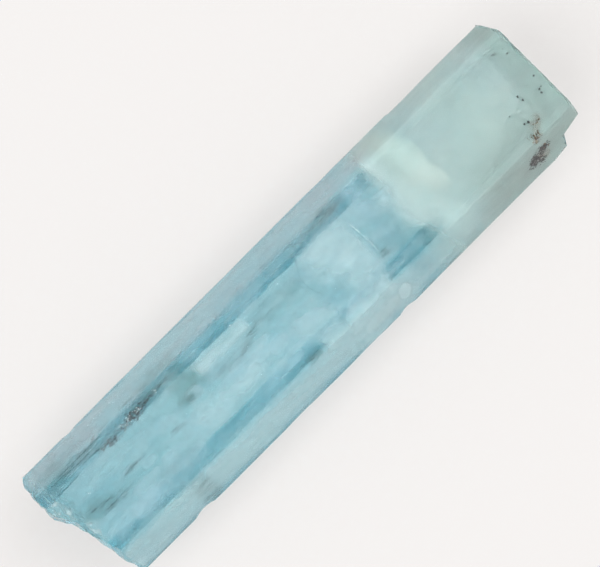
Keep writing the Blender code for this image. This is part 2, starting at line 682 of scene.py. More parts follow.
    def skin(self) -> Object:
        """The closed skin before growth marks, with what they need stored on its points.

        Returns:
            The crystal's new object.
        """
        ring, count = self.ring()
        total = len(ring)
        sides = self.side_points(ring)
        faces = []
        for station in range(self.stations - 1):
            here, there = station * total, (station + 1) * total
            for column in range(total):
                beside = (column + 1) % total
                faces.append((here + column, here + beside, there + beside, there + column))
        foot_points, foot_faces = self.cap(ring, count, 0, len(sides), head=False)
        head_start = len(sides) + len(foot_points)
        last = (self.stations - 1) * total
        head_points, head_faces = self.cap(ring, count, last, head_start, head=True)
        points = np.vstack([sides, np.array(foot_points), np.array(head_points)])
        self.scar(points)
        mesh = bpy.data.meshes.new(NODE)
        mesh.from_pydata(points.tolist(), [], faces + foot_faces + head_faces)
        self.store(mesh, ring, len(points))
        shape = bmesh.new()
        shape.from_mesh(mesh)
        bmesh.ops.recalc_face_normals(shape, faces=shape.faces)
        shape.to_mesh(mesh)
        shape.free()
        return linked("crystal_body", mesh)

    def store(self, mesh: Mesh, ring: np.ndarray, count: int) -> None:
        """Keeps on each side point its way inwards, its place round the ring and its wear.

        Args:
            mesh: the skin.
            ring: the (y, z) places round the crystal.
            count: how many points the skin has.
        """
        after = np.roll(ring, -1, axis=0)
        before = np.roll(ring, 1, axis=0)
        tangent = after - before
        tangent /= np.linalg.norm(tangent, axis=1)[:, None]
        inward = np.column_stack([np.zeros(len(ring)), tangent[:, 1], -tangent[:, 0]])
        centre = ring.mean(axis=0)
        towards = np.einsum("ij,ij->i", inward[:, 1:], centre - ring)
        inward[towards < 0] *= -1
        around = np.cumsum(np.linalg.norm(ring - before, axis=1))
        flat = np.abs(inward[:, 2])
        share = np.where(flat > self.level, self.top_share, 1.0)
        share[inward[:, 2] > self.level] = self.base_share
        values = {"inward": inward, "around": around, "growth_share": share}
        sides = self.stations * len(ring)
        for name, value in values.items():
            width = value.shape[1] if value.ndim > 1 else 1
            full = np.zeros((count, width))
            full[:sides] = np.tile(value.reshape(len(ring), width), (self.stations, 1))
            kind = "FLOAT_VECTOR" if width > 1 else "FLOAT"
            attribute = mesh.attributes.new(name, kind, "POINT")
            attribute.data.foreach_set("vector" if width > 1 else "value", full.ravel())

    def build(self, finish: Material) -> None:
        """Makes the skin, grows its marks and puts it in place of the plain solid.

        Args:
            finish: what it is dressed in.
        """
        thing = self.skin()
        values = {"Line Depth": self.line_depth, "Terrace Depth": self.terrace_depth}
        grow(thing, growth_relief(finish), values | {"Pit Depth": self.pit_depth})
        thing.data.shade_smooth()
        thing.data.set_sharp_from_angle(angle=self.sharp_angle)
        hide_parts(NODE)
        keep(thing)


def growth_relief(material: Material) -> NodeTree:
    """The marks of growth on the sides: lines along the c axis, low terraces and etch pits.

    Args:
        material: the finish of the crystal.

    Returns:
        A Geometry Nodes tree that presses the marks into a skin with the stored values.
    """
    inputs = {"Line Depth": 0.00002, "Terrace Depth": 0.00004, "Pit Depth": 0.00004, "Seed": 0.0}
    nodes, taken, given = new_group("growth_relief", inputs, "Geometry")

    def stored(name: str, kind: str) -> NodeSocket:
        """A value that is stored on the points."""
        return nodes.add("GeometryNodeInputNamedAttribute", {"Name": name}, data_type=kind).outputs[0]

    place = nodes.add("GeometryNodeInputPosition").outputs[0]
    along = nodes.add("ShaderNodeSeparateXYZ", {0: place}).outputs["X"]
    around = stored("around", "FLOAT")

    def pattern(along_scale: float, around_scale: float) -> NodeSocket:
        """A place on the sides, stretched to a pattern's scale.

        Args:
            along_scale: the scale along the c axis.
            around_scale: the scale round it.

        Returns:
            The place's socket.
        """
        x = nodes.math("MULTIPLY", along, along_scale)
        y = nodes.math("MULTIPLY", around, around_scale)
        return nodes.vector(x, y, taken["Seed"])

    lines = nodes.noise(pattern(14.0, 2300.0), detail=3.0)
    where_lined = nodes.ramp(nodes.noise(pattern(55.0, 330.0), detail=1.0), 0.4, 0.62, 0.15, 1.0)
    line_height = nodes.math("MULTIPLY", nodes.math("MULTIPLY", lines, where_lined), taken["Line Depth"])
    broad = nodes.ramp(nodes.noise(pattern(75.0, 360.0)), 0.44, 0.53)
    narrow = nodes.ramp(nodes.noise(pattern(130.0, 900.0)), 0.50, 0.59, 0.0, 0.5)
    steps = nodes.math("ADD", broad, narrow)
    step_height = nodes.math("MULTIPLY", steps, taken["Terrace Depth"])
    spots = {"Vector": pattern(520.0, 1500.0), "Scale": 1.0}
    cells = nodes.add("ShaderNodeTexVoronoi", spots).outputs["Distance"]
    pits = nodes.ramp(cells, 0.1, 0.34, 1.0, 0.0)
    where_pitted = nodes.ramp(nodes.noise(pattern(90.0, 300.0), detail=1.0), 0.56, 0.64)
    pit_height = nodes.math("MULTIPLY", nodes.math("MULTIPLY", pits, where_pitted), taken["Pit Depth"])
    height = nodes.math("ADD", nodes.math("ADD", line_height, step_height), pit_height)
    height = nodes.math("MULTIPLY", height, stored("growth_share", "FLOAT"))
    inputs = {0: stored("inward", "FLOAT_VECTOR"), "Scale": height}
    offset = nodes.add("ShaderNodeVectorMath", inputs, operation="SCALE").outputs[0]
    pressed = nodes.add("GeometryNodeSetPosition", {"Geometry": taken["Geometry"], "Offset": offset})
    real = nodes.add("GeometryNodeRealizeInstances", {0: pressed.outputs[0]})
    dressed = nodes.add("GeometryNodeSetMaterial", {0: real.outputs[0], "Material": material})
    nodes.feed(dressed.outputs[0], given)
    return nodes.tree


def needle_tree() -> NodeTree:
    """Hollow growth tubes: fine tapered needles along the c axis, one at each point.

    Returns:
        The Geometry Nodes tree.
    """
    inputs = {"Shortest": 0.001, "Longest": 0.004, "Thinnest": 0.00001, "Thickest": 0.00003}
    inputs |= {"Lean": 0.015, "Seed": 1, "Material": None}
    nodes, taken, given = new_group("growth_needles", inputs, "Geometry")
    ends = {"Start": (-0.5, 0.0, 0.0), "End": (0.5, 0.0, 0.0)}
    line = nodes.add("GeometryNodeCurvePrimitiveLine", ends).outputs[0]
    line = nodes.add("GeometryNodeResampleCurve", {"Curve": line, "Count": 5}).outputs[0]
    part = nodes.add("GeometryNodeSplineParameter").outputs["Factor"]
    bulge = nodes.math("MULTIPLY", part, nodes.math("SUBTRACT", 1.0, part))
    girth = nodes.math("ADD", nodes.math("MULTIPLY", bulge, 3.4), 0.15)
    line = nodes.add("GeometryNodeSetCurveRadius", {"Curve": line, "Radius": girth}).outputs[0]
    circle = nodes.add("GeometryNodeCurvePrimitiveCircle", {"Resolution": 5, "Radius": 1.0}).outputs[0]
    inputs = {"Curve": line, "Profile Curve": circle, "Fill Caps": True}
    needle = nodes.add("GeometryNodeCurveToMesh", inputs)
    if "Scale" in needle.inputs:
        nodes.feed(girth, needle.inputs["Scale"])
    length = chance_value(nodes, "FLOAT", taken["Shortest"], taken["Longest"], taken["Seed"])
    second_seed = nodes.math("ADD", taken["Seed"], 1.0)
    width = chance_value(nodes, "FLOAT", taken["Thinnest"], taken["Thickest"], second_seed)
    scale = nodes.vector(length, width, width)
    back = nodes.math("MULTIPLY", taken["Lean"], -1.0)
    least = nodes.vector(0.0, back, back)
    most = nodes.vector(math.tau, taken["Lean"], taken["Lean"])
    third_seed = nodes.math("ADD", taken["Seed"], 2.0)
    turn = chance_value(nodes, "FLOAT_VECTOR", least, most, third_seed)
    finish_instances(nodes, taken, given, needle.outputs[0], turn, scale, None)
    return nodes.tree


def grain_tree() -> NodeTree:
    """Mineral grains: small lumpy solids, one at each point, turned every way.

    Returns:
        The Geometry Nodes tree.
    """
    inputs = {"Smallest": 0.00008, "Largest": 0.0003, "Stretch": 1.5, "Flatness": 1.0}
    inputs |= {"Turn": 0.5, "Lumps": 0.35, "Seed": 1, "Material": None}
    nodes, taken, given = new_group("mineral_grains", inputs, "Geometry")
    ball = nodes.add("GeometryNodeMeshIcoSphere", {"Radius": 0.5, "Subdivisions": 2}).outputs[0]
    size = chance_value(nodes, "FLOAT", taken["Smallest"], taken["Largest"], taken["Seed"])
    long = nodes.math("MULTIPLY", size, taken["Stretch"])
    flat = nodes.math("MULTIPLY", size, taken["Flatness"])
    scale = nodes.vector(long, size, flat)
    back = nodes.math("MULTIPLY", taken["Turn"], -1.0)
    least = nodes.vector(back, back, back)
    most = nodes.vector(taken["Turn"], taken["Turn"], taken["Turn"])
    second_seed = nodes.math("ADD", taken["Seed"], 1.0)
    turn = chance_value(nodes, "FLOAT_VECTOR", least, most, second_seed)
    finish_instances(nodes, taken, given, ball, turn, scale, taken["Lumps"])
    return nodes.tree


def chance_value(nodes: Nodes, kind: str, least: Source, most: Source, seed: Source) -> NodeSocket:
    """Draws a number or a vector for each point.

    Args:
        nodes: the tree's nodes.
        kind: the kind of value.
        least: its lower end.
        most: its upper end.
        seed: what it is drawn from.

    Returns:
        The value's socket.
    """
    node = nodes.add("FunctionNodeRandomValue", data_type=kind)
    by_name = {socket.name: socket for socket in node.inputs if socket.enabled}
    nodes.feed(least, by_name["Min"])
    nodes.feed(most, by_name["Max"])
    nodes.feed(seed, by_name["Seed"])
    return next(socket for socket in node.outputs if socket.enabled)


def finish_instances(
    nodes: Nodes,
    taken: dict,
    given: NodeSocket,
    shape: NodeSocket,
    turn: NodeSocket,
    scale: NodeSocket,
    lumps: NodeSocket | None,
) -> None:
    """Sets a shape on every point, makes the copies real and dresses them.

    Args:
        nodes: the tree's nodes.
        taken: the tree's inputs by name.
        given: the tree's output.
        shape: the geometry to repeat.
        turn: its rotation at each point.
        scale: its size at each point.
        lumps: how uneven the shape is, as a share of its size, or None.
    """
    points = nodes.add("GeometryNodeMeshToPoints", {"Mesh": taken["Geometry"]}).outputs[0]
    if lumps is not None:
        place = nodes.add("GeometryNodeInputPosition").outputs[0]
        dents = nodes.noise(place, scale=2.6, detail=1.0)
        dents = nodes.math("SUBTRACT", dents, 0.5)
        share = nodes.math("MULTIPLY", dents, nodes.math("MULTIPLY", lumps, 4.0))
        offset = nodes.add("ShaderNodeVectorMath", {0: place, "Scale": share}, operation="SCALE").outputs[0]
        shape = nodes.add("GeometryNodeSetPosition", {"Geometry": shape, "Offset": offset}).outputs[0]
    inputs = {"Points": points, "Instance": shape, "Rotation": turn, "Scale": scale}
    copies = nodes.add("GeometryNodeInstanceOnPoints", inputs).outputs[0]
    real = nodes.add("GeometryNodeRealizeInstances", {0: copies}).outputs[0]
    dressed = nodes.add("GeometryNodeSetMaterial", {0: real, "Material": taken["Material"]})
    nodes.feed(dressed.outputs[0], given)


def zone_group() -> NodeTree:
    """How far a place is from one growth zone into the next along the c axis, from 0 to 1.

    Returns:
        The shader group.
    """
    inputs = {"Start": 0.012, "End": 0.020, "Wobble": 0.004}
    nodes, taken, given = new_group("growth_zone", inputs, "Share")
    place = nodes.add("ShaderNodeTexCoord").outputs["Object"]
    clouds = nodes.noise(place, scale=190.0, detail=3.0)
    shift = nodes.math("MULTIPLY", nodes.math("SUBTRACT", clouds, 0.5), taken["Wobble"])
    along = nodes.add("ShaderNodeSeparateXYZ", {0: place}).outputs["X"]
    reached = nodes.math("ADD", along, shift)
    nodes.feed(nodes.ramp(reached, taken["Start"], taken["End"]), given)
    return nodes.tree


def cloud_group() -> NodeTree:
    """A patchy mask, drawn out along the c axis, from 0 to 1.

    Returns:
        The shader group.
    """
    inputs = {"Scale": 300.0, "Stretch": 0.5, "Low": 0.35, "High": 0.7}
    nodes, taken, given = new_group("cloud_mask", inputs, "Mask")
    place = nodes.add("ShaderNodeTexCoord").outputs["Object"]
    parts = nodes.add("ShaderNodeSeparateXYZ", {0: place})
    along = nodes.math("MULTIPLY", parts.outputs["X"], taken["Stretch"])
    drawn = nodes.vector(along, parts.outputs["Y"], parts.outputs["Z"])
    clouds = nodes.noise(drawn, taken["Scale"], 3.0, Roughness=0.5, Distortion=0.1)
    nodes.feed(nodes.ramp(clouds, taken["Low"], taken["High"]), given)
    return nodes.tree


class Groups:
    """The node groups that more than one piece or finish uses, each built once."""

    def __init__(self) -> None:
        """Builds them."""
        self.zone = zone_group()
        self.cloud = cloud_group()
        self.needles = needle_tree()
        self.grains = grain_tree()

    def mask(self, nodes: Nodes, scale: float, stretch: float, low: float, high: float) -> NodeSocket:
        """The cloud mask in a material, with its own values."""
        values = {"Scale": scale, "Stretch": stretch, "Low": low, "High": high}
        return nodes.add("ShaderNodeGroup", values, node_tree=self.cloud).outputs[0]

    def reach(self, nodes: Nodes, start: float, end: float, wobble: float) -> NodeSocket:
        """The growth zone in a material, with its own values."""
        values = {"Start": start, "End": end, "Wobble": wobble}
        return nodes.add("ShaderNodeGroup", values, node_tree=self.zone).outputs[0]


def blank_material(name: str) -> tuple[Material, Nodes, Node, Node]:
    """Makes a new material.

    Args:
        name: the material's name.

    Returns:
        The material, its nodes, its Principled shader and its output.
    """
    material = bpy.data.materials.new(name)
    material.use_nodes = True
    nodes = Nodes(material.node_tree)
    shader = material.node_tree.nodes["Principled BSDF"]
    output = material.node_tree.nodes["Material Output"]
    return material, nodes, shader, output


@dataclass(frozen=True)
class BerylFinish:
    """Satin, see-through beryl: blue in the body, paler and frostier at the natural end."""

    absorption_colour: tuple = (0.14, 0.79, 0.885, 1.0)
    absorption_density: float = 60.0
    body_tint: tuple = (0.99, 1.0, 1.0, 1.0)
    head_tint: tuple = (0.98, 0.99, 0.94, 1.0)
    foot_tint: tuple = (0.90, 0.96, 0.97, 1.0)
    # Grey tint for the sloping sides: a painted reflection of the room, not the stone's own colour
    side_painted_grey: tuple = (0.88, 0.92, 0.94, 1.0)
    side_start: float = 0.0058
    side_end: float = 0.0074
    body_roughness: float = 0.07
    head_roughness: float = 0.06
    foot_roughness: float = 0.12
    patch_roughness: float = 0.05
    side_roughness: float = 0.11
    etch_scale: tuple = (60.0, 2400.0, 2400.0)
    etch_distance: float = 0.00003
    etch_strength: float = 0.25
    head_zone: tuple = (0.013, 0.019, 0.004)
    foot_zone: tuple = (-0.0385, -0.022, 0.012)
    crushed_zone: tuple = (-0.0382, -0.0355, 0.002)
    patches: tuple = (420.0, 0.5, 0.4, 0.65)

    def build(self, groups: Groups) -> Material:
        """Makes the material.

        Args:
            groups: the shared node groups.

        Returns:
            The crystal's material.
        """
        material, nodes, shader, output = blank_material("aquamarine")
        shader.inputs["IOR"].default_value = BERYL_INDEX
        shader.inputs["Transmission Weight"].default_value = 1.0
        shader.inputs["Metallic"].default_value = 0.0
        into_head = groups.reach(nodes, *self.head_zone)
        out_of_foot = groups.reach(nodes, *self.foot_zone)
        tint = nodes.blend(into_head, self.body_tint, self.head_tint)
        tint = nodes.blend(out_of_foot, self.foot_tint, tint)
        place = nodes.add("ShaderNodeTexCoord").outputs["Object"]
        parts = nodes.add("ShaderNodeSeparateXYZ", {0: place})
        aside = nodes.math("ABSOLUTE", parts.outputs["Y"])
        # The sloping sides: rougher from real wear, and greyed by a painted reflection of the room
        side_wear_and_painted_grey = nodes.ramp(aside, self.side_start, self.side_end)
        side_wear_and_painted_grey = nodes.math("MULTIPLY", side_wear_and_painted_grey, nodes.math("SUBTRACT", 1.0, into_head))
        rubbed = nodes.math("MULTIPLY", side_wear_and_painted_grey, self.side_roughness)
        nodes.feed(nodes.blend(side_wear_and_painted_grey, tint, self.side_painted_grey), shader.inputs["Base Color"])
        patches = groups.mask(nodes, *self.patches)
        frost = nodes.ramp(into_head, 0.0, 1.0, self.body_roughness, self.head_roughness)
        crushed = groups.reach(nodes, *self.crushed_zone)
        frost = nodes.math("ADD", frost, nodes.ramp(crushed, 0.0, 1.0, self.foot_roughness, 0.0))
        uneven = nodes.math("MULTIPLY", patches, self.patch_roughness)
        frost = nodes.math("ADD", frost, rubbed)
        nodes.feed(nodes.math("ADD", frost, uneven), shader.inputs["Roughness"])
        drawn = nodes.add("ShaderNodeMapping", {"Vector": place, "Scale": self.etch_scale})
        etch = nodes.noise(drawn.outputs[0], detail=4.0)
        inputs = {"Strength": self.etch_strength, "Distance": self.etch_distance, "Height": etch}
        nodes.feed(nodes.add("ShaderNodeBump", inputs).outputs[0], shader.inputs["Normal"])
        inputs = {"Color": self.absorption_colour, "Density": self.absorption_density}
        blue = nodes.add("ShaderNodeVolumeAbsorption", inputs)
        nodes.feed(blue.outputs[0], output.inputs["Volume"])
        return material


@dataclass(frozen=True)
class CloudFinish:
    """Sheets of fine bubbles, dust or deeper colour, as dense as each sheet's stored cover."""

    name: str
    colour: tuple
    second_colour: tuple
    strength: float
    scale: float = 420.0
    stretch: float = 0.5
    low: float = 0.32
    high: float = 0.66
    least: float = 0.25

    def build(self, groups: Groups) -> Material:
        """Makes the material.

        Args:
            groups: the shared node groups.

        Returns:
            A material whose cover fades with the sheet's stored cover and a patchy mask.
        """
        material, nodes, shader, _ = blank_material(self.name)
        patches = groups.mask(nodes, self.scale, self.stretch, self.low, self.high)
        drift = groups.mask(nodes, self.scale * 0.37, 1.0, 0.35, 0.65)
        first, second = (*self.colour, 1.0), (*self.second_colour, 1.0)
        nodes.feed(nodes.blend(drift, first, second), shader.inputs["Base Color"])
        cover = nodes.add("ShaderNodeAttribute", attribute_name="cover").outputs["Fac"]
        body = nodes.math("MULTIPLY", cover, nodes.ramp(patches, 0.0, 1.0, self.least, 1.0))
        nodes.feed(nodes.math("MULTIPLY", body, self.strength), shader.inputs["Alpha"])
        shader.inputs["Roughness"].default_value = 1.0
        shader.inputs["Specular IOR Level"].default_value = 0.0
        return material


@dataclass(frozen=True)
class GrainFinish:
    """Solid mineral: two colours in small patches."""

    name: str
    colour: tuple
    second_colour: tuple
    scale: float = 2600.0
    roughness: float = 0.45
    uneven: float = 0.25

    def build(self, groups: Groups) -> Material:
        """Makes the material.

        Args:
            groups: the shared node groups.

        Returns:
            The mineral's material.
        """
        material, nodes, shader, _ = blank_material(self.name)
        patches = groups.mask(nodes, self.scale, 0.8, 0.35, 0.65)
        first, second = (*self.colour, 1.0), (*self.second_colour, 1.0)
        nodes.feed(nodes.blend(patches, first, second), shader.inputs["Base Color"])
        rough = nodes.ramp(patches, 0.0, 1.0, self.roughness, self.roughness + self.uneven)
        nodes.feed(rough, shader.inputs["Roughness"])
        return material


def soften(points: list[Vector], times: int, closed: bool) -> list[Vector]:
    """Cuts the corners of a line of points some times over.

    Args:
        points: the line's places.
        times: how often.
        closed: True for a ring.

    Returns:
        The softer line.
    """
    for _ in range(times):
        pairs = zip(points, points[1:] + points[:1] if closed else points[1:])
        cut = [here.lerp(there, share) for here, there in pairs for share in (0.25, 0.75)]
        points = cut if closed else [points[0], *cut, points[-1]]
    return points


def spread(points: list[Vector], count: int, closed: bool) -> np.ndarray:
    """Spreads places evenly along a line of points.

    Args:
        points: the line's places.
        count: how many to make.
        closed: True for a ring.

    Returns:
        The new places, one to a row.
    """
    if closed:
        points = points + points[:1]
    reach = [0.0]
    for here, there in zip(points, points[1:]):
        reach.append(reach[-1] + (there - here).length)
    steps = np.linspace(0, reach[-1], count, endpoint=not closed)
    return np.column_stack([np.interp(steps, reach, [point[way] for point in points]) for way in (0, 1)])


def oval(along: float, across: float, half_along: float, half_across: float, slant: float = 0.0) -> tuple:
    """An oval outline.

    Args:
        along: its middle along the c axis, in millimetres.
        across: its middle across from the left side, in millimetres.
        half_along: half its length, in millimetres.
        half_across: half its width, in millimetres.
        slant: its turn from the c axis towards the right side, in degrees.

    Returns:
        The outline as (along, across) places.
    """
    turn = Matrix.Rotation(math.radians(slant), 2)
    points = []
    count = 12
    for step in range(count):
        angle = math.tau * step / count
        spot = turn @ Vector((half_along * math.cos(angle), half_across * math.sin(angle)))
        points.append((along + spot.x, across + spot.y))
    return tuple(points)


def bar(along: float, across: float, half_along: float, half_across: float) -> tuple:
    """A blunt bar's outline along the c axis, in millimetres.

    Args:
        along: its middle along the c axis.
        across: its middle across from the left side.
        half_along: half its length.
        half_across: half its width.

    Returns:
        The outline as (along, across) places.
    """
    shares = (
        (1.0, -0.5), (0.9, 0.7), (0.3, 1.0), (-0.8, 0.9),
        (-1.0, 0.4), (-0.9, -0.8), (-0.2, -1.0), (0.7, -0.9),
    )
    return tuple((along + first * half_along, across + second * half_across) for first, second in shares)


@dataclass(frozen=True)
class Patch:
    """A thin, gently waved sheet inside the crystal, with a soft or a crisp rim.

    Args:
        outline: places round it in millimetres: (along, across) or, for a basal sheet,
            (depth, across).
        level: its depth, or for a basal sheet its place along the c axis, in millimetres.
        cover: how dense its middle is.
        rim: how far in it fades, as a share of the way from its rim to its middle.
        crisp_way: the side with a crisp rim, in degrees from the first direction to the second.
        crisp_rim: the same share on the crisp side.
        rise_first: its climb along the first direction, in degrees.
        rise_second: its climb along the second direction, in degrees.
        wave: how far it waves, in millimetres.
        ragged: how uneven its rim is, as the same share.
        seed: what its waves and rim are drawn from.
        cell: the spacing of its mesh, in millimetres.
        lie: how it lies in the crystal.
        roundings: how often the outline's corners are cut.
        to_skin: True to keep its cover where it meets the crystal's skin.
    """

    outline: tuple
    level: float
    cover: float = 1.0
    rim: float = 0.6
    crisp_way: float | None = None
    crisp_rim: float = 0.08
    rise_first: float = 0.0
    rise_second: float = 0.0
    wave: float = 0.03
    ragged: float = 0.35
    seed: float = 0.0
    cell: float = 0.3
    lie: Lie = Lie.PRISM
    roundings: int = 2
    to_skin: bool = False

    SECTORS = 64
    FAINTEST = 0.004
    SWELL = 0.3
    RIPPLE = 1.1
    RIM_GRAIN = 0.4

    def rounded(self) -> np.ndarray:
        """The outline with its corners rounded, in evenly spread steps."""
        points = soften([Vector(point) for point in self.outline], self.roundings, closed=True)
        return spread(points, self.SECTORS, closed=True)

    def place(self, spot: Vector, middle: Vector) -> Vector:
        """Finds where a spot of the outline's plane is.

        Args:
            spot: the spot.
            middle: the outline's middle.

        Returns:
            Its place in the frame.
        """
        way = spot - middle
        drawn = self.seed * 3.1
        swell = noise.noise(Vector((spot.x * self.SWELL, spot.y * self.SWELL, drawn)))
        fine = noise.noise(Vector((spot.x * self.RIPPLE, spot.y * self.RIPPLE, drawn + 7.0)))
        rise = way.x * math.tan(math.radians(self.rise_first))
        rise += way.y * math.tan(math.radians(self.rise_second))
        rise += self.wave * (swell + 0.3 * fine)
        if self.lie is Lie.PRISM:
            return FORM.point(spot.x, spot.y, self.level - rise)
        if self.lie is Lie.SKIN:
            return FORM.point(spot.x, spot.y, FORM.skin_depth(spot.y) + self.level - rise)
        return FORM.point(self.level + rise, spot.y, spot.x)

    def rims(self, corners: np.ndarray) -> np.ndarray:
        """The rim's share on each stretch of the outline, by the way that the stretch faces.

        Args:
            corners: the rounded outline.

        Returns:
            A share for each stretch.
        """
        if self.crisp_way is None:
            return np.full(len(corners), self.rim)
        after = np.roll(corners, -1, axis=0)
        way = after - corners
        turning = np.sign((corners[:, 0] * after[:, 1] - after[:, 0] * corners[:, 1]).sum())
        heading = np.arctan2(-way[:, 0] * turning, way[:, 1] * turning)
        facing = np.cos(heading - math.radians(self.crisp_way)).clip(0.0)
        return self.rim + (self.crisp_rim - self.rim) * facing ** 1.6

    def within(self, spots: np.ndarray, corners: np.ndarray) -> np.ndarray:
        """How far inside the rim each spot is, as a share of the rim's own width.

        Args:
            spots: places in the outline's plane.
            corners: the rounded outline.

        Returns:
            A share for each spot, negative outside.
        """
        after = np.roll(corners, -1, axis=0)
        way = after - corners
        apart = spots[..., None, :] - corners
        share = np.clip((apart * way).sum(-1) / (way ** 2).sum(-1), 0, 1)
        away = np.linalg.norm(apart - share[..., None] * way, axis=-1)
        second = spots[..., 1, None]
        spans = (corners[:, 1] > second) != (after[:, 1] > second)
        steep = np.where(way[:, 1] == 0, 1.0, way[:, 1])
        crossing = corners[:, 0] + way[:, 0] * (second - corners[:, 1]) / steep
        inside = (spans & (spots[..., 0, None] < crossing)).sum(-1) % 2 == 1
        deepest = away.min(-1)[inside].max()
        nearest = (away / (self.rims(corners) * deepest)).min(-1)
        return np.where(inside, nearest, -nearest)

    def fade(self, spot: Vector, within: float) -> float:
        """How much of the cover is left at a spot.

        Args:
            spot: the spot.
            within: how far inside the rim it is.

        Returns:
            A share from 0 to 1.
        """
        place = Vector((spot.x * self.RIM_GRAIN, spot.y * self.RIM_GRAIN, self.seed * 5.3))
        uneven = noise.fractal(place, 0.8, 2.1, 4)
        left = min(max(within + self.ragged * uneven, 0.0), 1.0)
        return left * left * (3 - 2 * left)

    def add_to(self, shape: bmesh.types.BMesh, layer: bmesh.types.BMLayerItem) -> None:
        """Adds the sheet's faces to a mesh.

        Args:
            shape: the mesh that takes it.
            layer: the mesh's layer for the cover.
        """
        corners = self.rounded()
        low, high = corners.min(axis=0) - self.cell, corners.max(axis=0) + self.cell
        lines = [np.arange(low[way], high[way] + self.cell, self.cell) for way in (0, 1)]
        spots = np.stack(np.meshgrid(*lines, indexing="ij"), axis=-1)
        within = self.within(spots, corners)
        middle = Vector(corners.mean(axis=0))
        places, covers = {}, {}
        for row, column in np.ndindex(within.shape):
            spot = Vector(spots[row, column])
            place = self.place(spot, middle)
            if FORM.holds(place):
                places[row, column] = place
                covers[row, column] = self.cover * self.fade(spot, float(within[row, column]))
        steps = ((0, 0), (1, 0), (1, 1), (0, 1))
        round_about = [(first, second) for first in (-1, 0, 1) for second in (-1, 0, 1)]
        verts = {}
        for row, column in places:
            around = [(row + first, column + second) for first, second in steps]
            if not all(key in places for key in around):
                continue
            if max(covers[key] for key in around) < self.FAINTEST:
                continue
            for key in around:
                if key not in verts:
                    verts[key] = shape.verts.new(places[key])
                    near = ((key[0] + first, key[1] + second) for first, second in round_about)
                    whole = all(spot in places for spot in near)
                    verts[key][layer] = covers[key] if whole or self.to_skin else 0.0
            shape.faces.new([verts[key] for key in around])


@dataclass(frozen=True)
class Seam:
    """A hair-thin ribbon: the rim of a healed crack or of a growth layer.

    Args:
        path: (along, across) places in millimetres.
        depth: its depth at its two ends, in millimetres.
        width: its width in millimetres.
        cover: how dense it is.
    """

    path: tuple
    depth: tuple[float, float]
    width: float = 0.14
    cover: float = 1.0

    STEPS = 48

    def add_to(self, shape: bmesh.types.BMesh, layer: bmesh.types.BMLayerItem) -> None:
        """Adds the ribbon's faces to a mesh.

        Args:
            shape: the mesh that takes it.
            layer: the mesh's layer for the cover.
        """
        points = soften([Vector(point) for point in self.path], 2, closed=False)
        line = [Vector(spot) for spot in spread(points, self.STEPS, closed=False)]
        rows = []
        for index, middle in enumerate(line):
            share = index / (self.STEPS - 1)
            heading = (line[min(index + 1, self.STEPS - 1)] - line[max(index - 1, 0)]).normalized()
            side = Vector((-heading.y, heading.x))
            uneven = 0.75 + 0.5 * noise.noise(Vector((middle.x * 2, middle.y * 2, self.width)))
            half = self.width / 2 * uneven * min(1.0, 8 * share + 0.1, 8 * (1 - share) + 0.1)
            depth = self.depth[0] + (self.depth[1] - self.depth[0]) * share
            row = []
            for way in (-1, 0, 1):
                spot = middle + side * half * way
                vert = shape.verts.new(FORM.point(spot.x, spot.y, depth))
                vert[layer] = self.cover * (1.0 if way == 0 else 0.45)
                row.append(vert)
            rows.append(row)
        for row, after in zip(rows, rows[1:]):
            for cell in range(2):
                shape.faces.new((row[cell], row[cell + 1], after[cell + 1], after[cell]))


def strip(start: float, end: float, outer: float, inner: float) -> tuple:
    """A long strip's outline, from its ends along the c axis and its sides across it."""
    half = (start + end) / 2
    return ((start, outer), (half, outer), (end, outer), (end, inner), (half, inner), (start, inner))


def under_side(left: bool, start: float, end: float, below: float, cover: float, **given: object) -> Patch:
    """A sheet just under one of the two sloping upper sides.

    Args:
        left: True for the left side, False for the right one.
        start: where it starts along the c axis, in millimetres.
        end: where it ends, in millimetres.
        below: how far under the side's surface it lies, in millimetres.
        cover: how dense it is.
        given: the patch's other values.

    Returns:
        A patch that slopes with the side.
    """
    section = FORM.section
    slope = SIDE_LEAN
    edge = section.top_face_inset / MM
    outer, inner = -3.0, edge + 0.9
    if not left:
        slope = -SIDE_LEAN
        edge += section.top_face / MM
        outer, inner = 21.2, edge - 0.9
    drop = abs(edge - (outer + inner) / 2) * math.tan(math.radians(SIDE_LEAN))
    level = drop + below / math.cos(math.radians(SIDE_LEAN))
    outline = strip(start, end, outer, inner)
    return Patch(outline, level, cover, rise_second=slope, to_skin=True, **given)


def over_side(left: bool, start: float, end: float, above: float, cover: float, **given: object) -> Patch:
    """A sheet just inside one of the two overhanging lower sides.

    Args:
        left: True for the left side, False for the right one.
        start: where it starts along the c axis, in millimetres.
        end: where it ends, in millimetres.
        above: how far inside the side's surface it lies, in millimetres.
        cover: how dense it is.
        given: the patch's other values.

    Returns:
        A patch that slopes with the side.
    """
    section = FORM.section
    waist, base = (Vector(section.corners()[index]) / MM for index in ((5, 4) if left else (2, 3)))
    slope = math.atan2(waist.y - base.y, abs(waist.x - base.x))
    middle = (waist + base) / 2
    across = BOX_HIGH.y / MM - middle.x
    reach = abs(waist.x - base.x) / 2 + 0.6
    outline = strip(start, end, across - reach, across + reach)
    level = BOX_HIGH.z / MM - middle.y - above / math.cos(slope)
    rise = -math.degrees(slope) if left else math.degrees(slope)
    return Patch(outline, level, cover, rise_second=rise, to_skin=True, **given)


